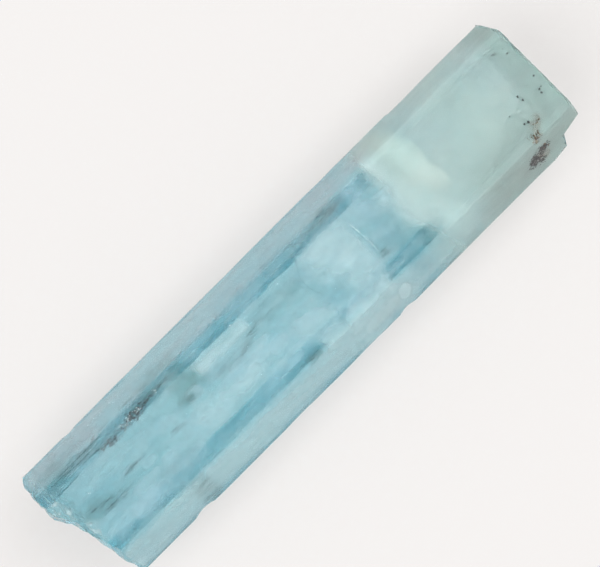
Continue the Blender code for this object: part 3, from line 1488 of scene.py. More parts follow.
@dataclass(frozen=True)
class Cluster:
    """Where small things lie together, in millimetres.

    Args:
        along: its middle along the c axis.
        across: its middle across from the left side.
        depth: its middle below the top face.
        spread: how far it spreads along, across and in depth.
        count: how many things are in it.
        by_skin: True where its depth is counted from the upper skin instead.
    """

    along: float
    across: float
    depth: float
    spread: tuple[float, float, float]
    count: int
    by_skin: bool = False

    def places(self, chance: random.Random, room: tuple[float, float]) -> list[Vector]:
        """Draws the things' places.

        Args:
            chance: the seeded source of numbers.
            room: how far each thing reaches along the c axis, and how far under the skin its
                middle must be, in metres.

        Returns:
            The places in the frame.
        """
        found = []
        tries = 0
        while len(found) < self.count and tries < self.count * 60:
            tries += 1
            offsets = [chance.gauss(0.0, 0.5) * reach for reach in self.spread]
            across = self.across + offsets[1]
            top = FORM.skin_depth(across) if self.by_skin else 0.0
            spot = FORM.point(self.along + offsets[0], across, top + self.depth + offsets[2])
            ends = (spot + Vector((way * room[0], 0.0, 0.0)) for way in (-1, 1))
            if FORM.section.room(spot.y, spot.z) > room[1] and all(FORM.holds(end) for end in ends):
                found.append(spot)
        return found


@dataclass
class Insides:
    """What is sealed in the crystal: each kind makes its pieces with the shared node groups."""

    groups: Groups

    def lay(self, name: str, finish: CloudFinish, sheets: list, slot: Slot = Slot.VEIL) -> None:
        """Joins sheets into one piece of the crystal.

        Args:
            name: the piece's name.
            finish: what it is dressed in.
            sheets: the patches and seams that it is made of.
            slot: the record's slot for it; not used.
        """
        shape = bmesh.new()
        layer = shape.verts.layers.float.new("cover")
        for sheet in sheets:
            sheet.add_to(shape, layer)
        bmesh.ops.dissolve_degenerate(shape, dist=1e-7, edges=shape.edges)
        shape.normal_update()
        for face in shape.faces:
            if face.normal.z < 0:
                face.normal_flip()
        mesh = bpy.data.meshes.new(name)
        shape.to_mesh(mesh)
        shape.free()
        mesh.shade_smooth()
        mesh.materials.append(finish.build(self.groups))
        keep(linked(name, mesh))

    def scatter(
        self,
        name: str,
        finish: GrainFinish,
        clusters: list[Cluster],
        values: dict,
        room: tuple[float, float],
        seed: int,
        slot: Slot = Slot.DARK,
    ) -> None:
        """Fills clusters with copies of one small shape, as one piece of the crystal.

        Args:
            name: the piece's name.
            finish: what the copies are dressed in.
            clusters: where the copies lie.
            values: the sizes that the needles or the grains take, by name.
            room: how far each copy reaches along the c axis, and how far under the skin its
                middle must be, in metres.
            seed: what the places are drawn from.
            slot: the record's slot for the piece; not used.
        """
        chance = random.Random(seed)
        places = [spot for cluster in clusters for spot in cluster.places(chance, room)]
        mesh = bpy.data.meshes.new(name)
        mesh.from_pydata([tuple(spot) for spot in places], [], [])
        tree = self.groups.needles if "Longest" in values else self.groups.grains
        given = values | {"Material": finish.build(self.groups), "Seed": seed}
        keep(grow(linked(name, mesh), tree, given))


@dataclass
class Clouds(Insides):
    """The milky patch, the cloudy natural end and the pale windows in the body."""

    depths: tuple = (5, 7.4, 10.4)

    def milky_patch(self) -> None:
        """The bright patch where the clear body meets the cloudy end."""
        colours = ((0.94, 1, 0.98), (0.87, 1, 0.985))
        veil = CloudFinish("milky_veil", *colours, 1, 240, 0.9, 0.2, 0.8, 0.8)
        colours = ((0.89, 0.995, 1), (0.83, 0.99, 1))
        cyan = CloudFinish("milky_glow", *colours, 1, 240, 0.9, 0.2, 0.8, 0.85)
        crest = (
            (20.2, -0.4), (21.9, 1.6), (22.9, 3.5), (23.4, 5.2), (23.1, 6.9), (23.4, 7.9), (23.7, 9),
            (23.5, 10.4), (22.6, 12), (20.9, 11.6), (19.6, 9.6), (18.7, 7.9), (18.5, 6.1), (18.3, 4.4),
            (18, 2.9), (18.3, 0.6),
        )
        lobe = (
            (16.3, 2.4), (16.6, 4.2), (17.1, 5.8), (18.4, 6.4), (19.6, 5.2), (20, 3.4), (19.4, 1.2),
            (18.2, 0.4), (16.9, 0.8),
        )
        glow = (
            (15.8, -0.6), (15.6, 4.2), (16, 6.4), (14.8, 8.6), (15.2, 11.8), (17.8, 13.8), (20.8, 13.4),
            (22.8, 10.8), (23.8, 6), (23, 1.6), (22.4, -2.4), (17, -2.6),
        )
        right = (
            (20.6, 8.8), (21.5, 11), (22.5, 12.7), (22.9, 14.4), (22.3, 16.6), (20.4, 18),
            (18.2, 17), (17.8, 13.8), (18.5, 10.4),
        )
        over_all = (
            (16.2, -5), (15.8, 3), (16.2, 6), (15.4, 9), (15.8, 12), (17, 15), (17.8, 23),
            (30, 24), (45, 23), (47, 9), (45, -5), (30, -6),
        )
        on_skin = {"wave": 0.01, "ragged": 0.12, "lie": Lie.SKIN}
        sheets = [
            Patch(crest, 0.50, 0.8, 0.9, 20, 0.3, seed=1, cell=0.15, **on_skin),
            Patch(crest, 0.60, 0.9, 0.9, 20, 0.4, seed=1.5, cell=0.2, **on_skin),
            Patch(crest, 0.71, 0.9, 0.9, 20, 0.5, seed=1.8, **on_skin),
        ]
        self.lay("milky_patch", veil, sheets)
        square = ((9.3, 15.3), (11.1, 15.2), (11.4, 16.5), (10.2, 17.5), (8.9, 17.1))
        tail = ((9.6, 14.8), (10, 17.2), (6, 17.8), (3.2, 17.6), (2.6, 16), (5.2, 15))
        sheets = [
            Patch(over_all, 0.42, 0.36, 0.12, seed=5, cell=0.25, to_skin=True, **on_skin),
            Patch(lobe, 0.53, 0.8, 0.9, 180, 0.4, seed=3, cell=0.2, **on_skin),
            Patch(lobe, 0.65, 0.8, 0.9, 180, 0.5, seed=3.2, **on_skin),
            Patch(right, 0.55, 0.5, 0.9, 20, 0.3, seed=2, cell=0.2, **on_skin),
            Patch(right, 0.79, 0.8, 0.9, 10, 0.5, seed=2.5, **on_skin),
            Patch(glow, 0.85, 0.75, 0.8, seed=3.5, **on_skin),
            Patch(glow, 1.05, 0.75, 0.7, seed=4, **on_skin),
            Patch(glow, 1.30, 0.9, 0.6, seed=4.5, **on_skin),
            Patch(square, 0.40, 0.9, 0.4, seed=34, cell=0.15, roundings=1, **on_skin),
            Patch(tail, 0.46, 0.6, 0.8, seed=35, cell=0.2, **on_skin),
            Patch(tail, 1, 0.7, 0.9, seed=35.5, **on_skin),
        ]
        self.lay("milky_glow", cyan, sheets)

    def head_clouds(self) -> None:
        """The even haze of the natural end, with a paler, denser copy under its sides that is painted light.
        """
        colours = ((0.90, 0.985, 0.95), (0.87, 0.92, 0.945))
        finish = CloudFinish("head_haze", *colours, 0.48, 240, 0.8, 0.25, 0.75, 0.5)
        whole = (
            (16, -5), (28, -6), (46, -5), (47, 9),
            (46, 23), (28, 24), (17.4, 23), (15.2, 9),
        )
        past_crest = (
            (19.5, -5), (28, -6), (46, -5), (47, 9),
            (46, 23), (28, 24), (19.5, 23),
        )
        top = {"cell": 0.3, "to_skin": True, "lie": Lie.SKIN, "wave": 0.01}
        low = {"cell": 0.4, "lie": Lie.SKIN, "wave": 0.01}
        sheets = [
            Patch(past_crest, 0.75, 0.8, 0.3, seed=10, **top),
            Patch(past_crest, 1.15, 0.8, 0.3, seed=11, **top),
            Patch(whole, 1.7, 0.75, 0.3, seed=12, **low),
        ]
        for index, depth in enumerate(self.depths):
            tilt = 2.0 * math.sin(index * 2.4)
            given = {"rise_first": tilt / 4, "rise_second": tilt, "ragged": 0.3, "cell": 0.4}
            sheets.append(Patch(whole, depth, 0.7, 0.3, seed=16.0 + index, **given))
        self.lay("head_haze", finish, sheets)
        # The haze under the tilted sides is paler and denser than the head haze: painted light for the light
        # those sloping sheets lose
        colours = ((0.90, 1, 0.97), (0.86, 0.98, 0.97))
        finish = CloudFinish("head_side_haze_painted_light", *colours, 0.95, 240, 0.8, 0.2, 0.8, 0.7)
        sheets = []
        for left in (True, False):
            for above in (0.25, 0.8):
                given = {"rim": 0.3, "seed": 19.0 + left + above, "cell": 0.25}
                sheets.append(over_side(left, 15, 46, above, 0.8, **given))
        self.lay("head_side_haze_painted_light", finish, sheets)

    def end_haze(self) -> None:
        """The greyer layer just under the natural end's flat face, and at its right side."""
        colours = ((0.46, 0.64, 0.61), (0.40, 0.55, 0.54))
        finish = CloudFinish("end_haze", *colours, 1, 420, 1, 0.3, 0.7, 0.5)
        slab = (
            (34.6, -3), (42, -3), (42.6, 9), (42, 21.5),
            (34.8, 21.5), (34.4, 13), (35, 7),
        )
        whole = (
            (-1, -1), (-1, 9), (-1, 19.5), (7, 20),
            (15.5, 19.5), (15.5, 9), (15.5, -1), (7, -1.5),
        )
        inner = tuple((max(depth, 1.4), across) for depth, across in whole)
        right = (
            (22, 12.8), (27, 11), (33, 10.2), (42, 8),
            (44, 16), (42, 22), (23, 22),
        )
        on_skin = {"wave": 0.01, "lie": Lie.SKIN}
        sheets = [Patch(slab, 0.57, 0.85, 0.9, seed=20.5, cell=0.2, to_skin=True, **on_skin)]
        for below in (0.92, 1.38, 1.85):
            sheets.append(Patch(slab, below, 0.8, 0.9, seed=20.0 + below, **on_skin))
        for below in (0.64, 1.02, 1.48):
            sheets.append(Patch(right, below, 0.85, 0.8, seed=26.0 + below, **on_skin))
        self.lay("end_haze", finish, sheets)
        colours = ((0.92, 1, 0.97), (0.86, 0.95, 0.93))
        finish = CloudFinish("end_face_haze", *colours, 0.8, 300, 1, 0.25, 0.75, 0.6)
        given = {"wave": 0.1, "cell": 0.2, "lie": Lie.BASAL, "to_skin": True}
        sheets = [Patch(whole, 39.15, 0.9, 0.12, seed=39, **given)]
        for level, cover in ((38.7, 0.6), (38, 0.5), (37.2, 0.5)):
            sheets.append(Patch(inner, level, cover, 0.3, seed=level, wave=0.3, lie=Lie.BASAL))
        self.lay("end_face_haze", finish, sheets)

    def windows(self) -> None:
        """The pale, clear-edged growth layers in the body."""
        colours = ((0.88, 0.995, 1), (0.78, 0.97, 0.985))
        finish = CloudFinish("pale_window", *colours, 0.85, 320, 0.5, 0.25, 0.75, 0.45)
        pane = (
            (10.4, 4), (11, 4.6), (11.1, 7.4), (11.15, 10.6), (10.8, 13.6), (10, 14.4), (8, 14.5),
            (5.6, 13.4), (4.2, 11.2), (2.8, 9.2), (2.2, 7), (3.2, 4.4), (4, 3.8), (7, 3.8),
        )
        fibrous = (
            (-5.6, 4.9), (-5.5, 6.5), (-5.9, 6.9), (-10, 7), (-13.7, 7), (-14.2, 6.6), (-14.5, 4.9),
            (-14.2, 4.6), (-10, 4.6), (-5.9, 4.6),
        )
        right_pale = ((3, 12.6), (3.6, 15.6), (0, 15.6), (-2, 14.2), (-1, 12.4))
        cloud = (
            (-6.6, 8.6), (-7.4, 12.2), (-12, 13), (-18, 12.4),
            (-19.8, 9.4), (-15.4, 7.8), (-11, 8.8),
        )
        under_pane = ((3.4, 8.4), (4.6, 13.2), (2, 14), (-3.6, 13), (-4.4, 9.4), (-1, 8))
        low_cloud = ((-21, 5.6), (-22, 8), (-29, 8), (-34, 7.4), (-33, 5.2), (-27, 5))
        bright = (
            (10.2, 11.8), (10.8, 14.2), (9.6, 15.8), (3.6, 15.8),
            (1.6, 14), (3.4, 12.6), (6.4, 12.8),
        )
        deep = (
            (13, 3), (13, 15), (-2, 15), (-18, 14.5),
            (-20, 9), (-14, 4), (0, 3.4),
        )
        clear_edged = {"ragged": 0.2, "cell": 0.2, "roundings": 1}
        sheets = [
            Patch(pane, 0.75, 0.65, 0.8, -30, 0.1, seed=31, **clear_edged),
            Patch(pane, 1.3, 0.6, 0.9, -60, 0.2, seed=31.2, **clear_edged),
            Patch(pane, 2, 0.6, 0.9, 0, 0.3, seed=31.5, **clear_edged),
            Patch(under_pane, 0.95, 0.6, 0.9, seed=40.8),
            Patch(right_pale, 1.1, 0.55, 0.8, seed=40),
            Patch(right_pale, 1.8, 0.55, 0.8, seed=40.5),
            Patch(cloud, 0.8, 0.6, 1, seed=33),
            Patch(cloud, 1.7, 0.6, 1, seed=33.5),
            Patch(low_cloud, 2.5, 0.5, 0.9, seed=36),
            Patch(deep, 9, 0.35, 0.7, seed=37),
            Patch(bright, 0.88, 0.7, 0.8, seed=38),
            Patch(bright, 1.5, 0.6, 0.8, seed=38.5),
            under_side(False, 1, 12, 0.45, 0.8, rim=0.6, seed=39),
            under_side(False, -44, 13, 0.9, 0.7, rim=0.6, seed=39.5, cell=0.4),
        ]
        self.lay("pale_windows", finish, sheets)
        finish = CloudFinish("fibrous_window", *colours, 0.85, 800, 0.2, 0.25, 0.75, 0.45)
        clear_edged = {"ragged": 0.3, "cell": 0.15, "roundings": 1}
        sheets = [
            Patch(fibrous, 0.75, 0.6, 0.7, -120, 0.12, seed=32, **clear_edged),
            Patch(fibrous, 1.3, 0.5, 0.9, -150, 0.2, seed=32.4, **clear_edged),
        ]
        self.lay("fibrous_window", finish, sheets)

    def body_haze(self) -> None:
        """The thin, patchy haze all through the body and under its sloping sides, greyish-lilac on the left
        as a painted reflection.
        """
        colours = ((0.80, 0.96, 1), (0.70, 0.90, 0.98))
        finish = CloudFinish("body_haze", *colours, 0.6, 460, 0.4, 0.35, 0.7, 0.1)
        whole = (
            (-42, -4), (-12, -5), (18, -4), (19, 9),
            (18, 22), (-12, 23), (-42, 22),
        )
        upper = (
            (8, -3), (12.6, -3.5), (19, -3), (19, 7),
            (16, 10), (12.4, 7), (11.2, 3),
        )
        sheets = []
        for index, depth in enumerate((0.45, 2.9)):
            sheets.append(Patch(whole, depth, 0.4, 0.3, seed=101.0 + index, cell=0.5))
            sheets.append(Patch(upper, depth + 0.13, 1, 0.7, seed=106.0 + index, cell=0.4))
        self.lay("body_haze", finish, sheets)
        # The left side's sheets are greyish-lilac: a painted reflection of the room on that side
        for left, name, colours in (
            (True, "left_side_haze_painted_reflection", ((0.82, 0.80, 0.83), (0.86, 0.91, 0.93))),
            (False, "right_side_haze", ((0.75, 0.93, 0.945), (0.81, 1, 1))),
        ):
            skin = CloudFinish(name, *colours, 0.75, 330, 0.6, 0.2, 0.8, 0.3)
            sheets = [over_side(left, -44, 44, 0.3, 0.5, rim=0.3, seed=115.0 + left, cell=0.35)]
            for below in (0.25, 0.7):
                given = {"rim": 0.3, "seed": 111.0 + left + below, "cell": 0.35}
                sheets.append(under_side(left, -44, 20, below, 0.42, **given))
            self.lay(name, skin, sheets)

    def seams(self) -> None:
        """The bright rims of the growth layers."""
        colours = ((0.97, 1, 1), (0.85, 0.97, 0.97))
        finish = CloudFinish("seam_white", *colours, 0.9, 1400, 1, 0.2, 0.7, 0.4)
        arc = ((3.4, 3.5), (3.9, 4.4), (3.3, 5.4), (2.5, 6.6), (2.6, 8.6), (3.4, 9.9), (4.4, 11.2))
        seams = [
            Seam(((10.9, 5.6), (11.1, 7.6), (11.2, 9.4), (11.15, 11)), (0.5, 0.6), 0.22, 1),
            Seam(((11.1, 10.8), (10.9, 12.6), (10.6, 14)), (2.2, 2.5), 0.1, 0.5),
            Seam(arc, (2, 2.6), 0.1, 0.5),
            Seam(((-33, 3.6), (-27.4, 3.3)), (3, 2.8), 0.1, 0.6),
            Seam(((-35.6, 4.8), (-32.4, 4.7)), (2, 2), 0.12, 0.7),
        ]
        self.lay("bright_seams", finish, seams)

    def build(self) -> None:
        """Makes every pale cloud."""
        self.milky_patch()
        self.head_clouds()
        self.end_haze()
        self.windows()
        self.body_haze()
        self.seams()


@dataclass
class Shades(Insides):
    """The deeper blue belts with painted shade along the right band, the greenish zones and the smoky
    streaks.
    """

    def belts(self) -> None:
        """The deeper blue belt under the milky patch, painted shade along the right dark band, and the
        shaded foot.
        """
        colours = ((0.30, 0.60, 0.67), (0.42, 0.70, 0.75))
        finish = CloudFinish("deep_blue", *colours, 0.5, 260, 0.6, 0.25, 0.75, 0.5)
        belt = (
            (12.2, 3.6), (15, 2.8), (16.4, 5), (16, 8.8), (17.2, 13), (17.8, 21),
            (12.4, 21), (11.6, 14.8), (11.9, 9.6), (11.6, 6),
        )
        dark = ((15.8, 11), (16.2, 16.6), (14.6, 19), (12.4, 16.8), (11.8, 12.6), (13.6, 10.6))
        right_band_painted_shade = ((4, 12.8), (2, 14.6), (-12, 14.8), (-26, 14.4), (-26, 12.8), (-10, 12.4))
        low_right = (
            (-18.4, 12.4), (-19.4, 13.6), (-24, 14.4), (-27.6, 13.6), (-27.8, 10.8), (-25.6, 10),
            (-22.6, 10.6), (-20.4, 11.2),
        )
        foot = ((-20, -1), (-20, 19), (-30, 20), (-41, 19), (-41, -1), (-30, -2))
        sheets = [
            Patch(belt, 2.4, 0.5, 0.8, seed=42),
            Patch(belt, 4.2, 0.6, 0.8, seed=42.5),
            Patch(dark, 2.1, 0.5, 0.9, seed=43),
            Patch(dark, 3.5, 0.6, 0.9, seed=43.5),
            under_side(False, 10.6, 18.4, 1, 0.6, rim=0.8, seed=48),
            # Painted shade: a dark sheet that deepens the right dark band, which is shade from light
            # reflected inside the crystal
            Patch(right_band_painted_shade, 3.9, 0.9, 0.8, seed=44),
            Patch(low_right, 1.4, 0.5, 0.9, seed=47),
            Patch(low_right, 2.6, 0.7, 0.9, seed=47.5),
            Patch(oval(-24.8, 13, 2.2, 1.3, 10), 2.1, 0.7, 0.9, seed=49),
            Patch(bar(-0.5, 3.45, 8.5, 0.62), 1, 1, 0.25, seed=57.5, cell=0.2, roundings=1),
            Patch(bar(-5, 3.5, 10.5, 0.8), 1.9, 1, 0.4, seed=58.5, cell=0.2, roundings=1),
            Patch(foot, 4, 0.4, 0.8, seed=45),
            Patch(foot, 9, 0.5, 0.8, seed=46),
        ]
        self.lay("deep_blue_belts_and_painted_shade", finish, sheets)

    def green(self) -> None:
        """The greenish zones in the lower body."""
        colours = ((0.10, 0.28, 0.25), (0.16, 0.36, 0.35))
        finish = CloudFinish("sea_green", *colours, 0.8, 420, 0.4, 0.3, 0.7, 0.45)
        sheets = [
            Patch(oval(-15.6, 5.8, 3.6, 2.4, -8), 1.9, 0.75, 1, seed=51),
            Patch(oval(-17, 7.2, 2, 1.2, -8), 1.35, 0.45, 1, seed=50),
            Patch(oval(-17.6, 3.8, 4.6, 2.2, 0), 4.4, 0.9, 1, seed=52),
            Patch(oval(7.6, 3.4, 4.2, 0.7), 2, 0.6, 0.7, seed=57, cell=0.2),
            Patch(oval(-1.6, 6.6, 4.6, 1.7, 4), 3.2, 0.45, 0.8, seed=53),
            Patch(oval(-33.6, 9, 3, 1.6, 0), 2.4, 0.6, 0.8, seed=54),
            Patch(oval(-24, 12.2, 4, 1.4, 0), 4.4, 0.4, 0.8, seed=55),
            Patch(oval(-35, 3.4, 3, 2.4, 0), 4, 0.6, 0.8, seed=56),
        ]
        self.lay("greenish_zones", finish, sheets)

    def smoke(self) -> None:
        """The smoky streaks along the growth tubes."""
        colours = ((0.08, 0.24, 0.25), (0.19, 0.36, 0.37))
        finish = CloudFinish("smoke", *colours, 0.7, 3000, 0.12, 0.40, 0.60, 0.15)
        tube_zone = ((-3, 5.8), (-4, 7.2), (-8, 8.8), (-12.8, 8.9), (-12.8, 7.6), (-8.6, 6.8))
        sheets = [
            Patch(tube_zone, 1.2, 0.5, 0.8, seed=61, cell=0.2),
            Patch(bar(11.6, 11.5, 0.6, 0.6), 0.66, 0.9, 0.6, seed=62, cell=0.12),
            Patch(bar(-20.2, 8.9, 1.2, 0.5), 1, 0.5, 0.5, seed=63, cell=0.12),
            Patch(bar(-27.4, 8.3, 1.2, 0.4), 0.9, 0.6, 0.6, seed=64, cell=0.12),
            Patch(bar(-31, 9.7, 2, 0.5), 1, 0.5, 0.7, seed=65, cell=0.15),
            Patch(oval(-33.8, 8.9, 1.6, 1.2), 2.2, 0.4, 0.9, seed=66, cell=0.2),
            Patch(bar(-23.4, 17.3, 1.8, 0.5), 5.6, 0.8, 0.7, seed=67, cell=0.15),
            Patch(bar(-16.9, 7.6, 0.9, 0.5), 1.4, 0.6, 0.7, seed=68, cell=0.12),
            Patch(bar(-20, 3.8, 4.4, 0.8), 2.6, 0.9, 0.8, seed=69, cell=0.2),
            Patch(bar(-26, 4.2, 3.4, 0.8), 2.6, 0.9, 0.8, seed=70, cell=0.2),
            Patch(bar(10, 3.5, 2.2, 0.6), 0.66, 0.3, 0.7, seed=71, cell=0.12),
            Patch(bar(7.4, 3.5, 4.6, 0.6), 1.5, 0.4, 0.9, seed=71.5, cell=0.15),
            under_side(False, -24.8, -21, 0.3, 0.9, rim=0.9, seed=74, cell=0.15),
            Patch(bar(-31, 3, 4.6, 0.9), 3.4, 0.7, 0.8, seed=72, cell=0.2),
            Patch(bar(-2.8, 14.1, 1.2, 0.4), 1.6, 0.9, 0.7, seed=73, cell=0.12),
        ]
        self.lay("smoky_streaks", finish, sheets)

    def dark_seams(self) -> None:
        """The dark hairlines beside the pale windows."""
        colours = ((0.04, 0.12, 0.13), (0.12, 0.24, 0.26))
        finish = CloudFinish("seam_dark", *colours, 1, 1400, 0.3, 0.2, 0.6, 0.6)
        arc = ((3.2, 3.7), (3.6, 4.5), (3.05, 5.4), (2.25, 6.6), (2.35, 8.7), (3.1, 10))
        seams = [
            Seam(((10.7, 14.55), (9.2, 14.7), (7.8, 14.5)), (1.6, 1.6), 0.13, 0.7),
            Seam(((11.45, 8.6), (11.4, 10.2), (10.9, 12.4)), (0.9, 1), 0.12, 0.5),
            Seam(arc, (0.9, 1.2), 0.12, 0.6),
            Seam(((-26.8, 3.05), (-30.2, 3.1), (-34.4, 3.1)), (0.35, 0.4), 0.17, 1),
            Seam(((-27.9, 4.1), (-31.1, 4)), (0.4, 0.4), 0.16, 1),
            Seam(((-32.2, 4.6), (-35.9, 4.6)), (0.4, 0.4), 0.17, 1),
            Seam(((-27.6, 3.55), (-31, 3.6), (-34, 3.5)), (0.4, 0.4), 0.14, 1),
            Seam(((-31.4, 3.3), (-36, 3.4)), (0.4, 0.4), 0.12, 0.9),
            Seam(((-29, 2.2), (-36.2, 2.3)), (1.4, 1.25), 0.12, 0.9),
            Seam(((-30.6, 1.6), (-35, 1.7)), (2.4, 2.3), 0.12, 0.9),
        ]
        self.lay("dark_seams", finish, seams)

    def build(self) -> None:
        """Makes every shade."""
        self.belts()
        self.green()
        self.smoke()
        self.dark_seams()


@dataclass
class GrowthSectors(Insides):
    """The faint, straight-sided growth sectors all through the body, pale and deeper blue."""

    count: int = 36
    pale_seed: int = 41
    deep_seed: int = 42

    def sheets(self, seed: int) -> list[Patch]:
        """Draws the sectors of one kind.

        Args:
            seed: what their places and sizes are drawn from.

        Returns:
            Thin sheets, longer along the c axis than across it.
        """
        chance = random.Random(seed)
        found = []
        for index in range(self.count):
            along, across = chance.uniform(-34.0, 13.0), chance.uniform(5.6, 13.4)
            half_along, half_across = chance.uniform(1.0, 4.4), chance.uniform(0.25, 1.2)
            depth, cover = 1.56 + 0.06 * index, chance.uniform(0.3, 1.0)
            outline = bar(along, across, half_along, half_across)
            rim = chance.uniform(0.2, 0.6)
            given = {"wave": 0.0, "ragged": 0.25, "cell": 0.2, "roundings": 1}
            found.append(Patch(outline, depth, cover, rim, seed=seed + index / 7, **given))
        return found

    def build(self) -> None:
        """Makes both kinds."""
        mask = (500, 0.3, 0.25, 0.75, 0.5)
        pale = CloudFinish("pale_sector", (0.84, 0.97, 1), (0.76, 0.93, 0.99), 0.55, *mask)
        deep = CloudFinish("deep_sector", (0.16, 0.46, 0.56), (0.24, 0.54, 0.60), 0.27, *mask)
        self.lay("pale_growth_sectors", pale, self.sheets(self.pale_seed))
        self.lay("deep_growth_sectors", deep, self.sheets(self.deep_seed))


@dataclass
class Needles(Insides):
    """The growth tubes, dark ones and pale ones."""

    longest: float = 0.0028
    dark_seed: int = 21
    pale_seed: int = 22

    def build(self) -> None:
        """Makes both kinds."""
        dark = GrainFinish("tube_dark", (0.05, 0.15, 0.16), (0.15, 0.28, 0.29))
        pale = GrainFinish("tube_pale", (0.80, 0.92, 0.93), (0.62, 0.82, 0.86))
        sizes = {"Shortest": 0.0005, "Longest": self.longest, "Thinnest": 0.00001, "Thickest": 0.000034}
        sizes["Lean"] = 0.012
        dark_clusters = [
            Cluster(-5.6, 6.9, 0.8, (2.6, 0.7, 0.4), 16),
            Cluster(-9, 7.9, 0.8, (2.8, 0.7, 0.4), 24),
            Cluster(-12, 8, 0.9, (1.6, 0.7, 0.4), 12),
            Cluster(10.4, 3.5, 0.7, (1.8, 0.55, 0.4), 44),
            Cluster(6.6, 3.5, 1.2, (3.4, 0.45, 0.6), 26),
            Cluster(-1, 3.6, 2.2, (7, 0.5, 0.8), 20),
            Cluster(-9, 3.8, 3, (8, 0.9, 1.4), 18),
            Cluster(-22, 3.8, 1.4, (6, 0.9, 0.6), 40),
            Cluster(-31, 3.3, 0.8, (4.6, 1.3, 0.5), 60),
            Cluster(-31, 9.8, 1, (2.6, 0.7, 0.4), 22),
            Cluster(-27.2, 8.3, 0.8, (1.4, 0.35, 0.3), 10),
            Cluster(-20.3, 8.9, 0.9, (1.3, 0.45, 0.3), 10),
            Cluster(-16.9, 7.6, 0.9, (0.9, 0.4, 0.3), 6),
            Cluster(-3, 14.1, 0.8, (1.8, 0.3, 0.3), 12),
            Cluster(11.6, 11.5, 0.6, (0.5, 0.5, 0.2), 9),
            Cluster(-33.6, 9, 1.2, (1.6, 0.7, 0.4), 12),
            Cluster(-10, 10, 2, (24, 6, 2), 18),
        ]
        room = (self.longest * 0.55, 0.0002)
        self.scatter("dark_growth_tubes", dark, dark_clusters, sizes, room, self.dark_seed, Slot.VEIL)
        pale_clusters = [
            Cluster(-9.6, 5.6, 2.4, (5, 0.9, 0.8), 16),
            Cluster(-31, 3.4, 2.6, (5, 1.3, 1.2), 22),
            Cluster(8, 16.6, 5, (4, 1, 1), 12),
            Cluster(0, 9, 6, (18, 7, 5), 26),
            Cluster(-22, 10, 6, (16, 7, 5), 26),
        ]
        self.scatter("pale_growth_tubes", pale, pale_clusters, sizes, room, self.pale_seed, Slot.VEIL)


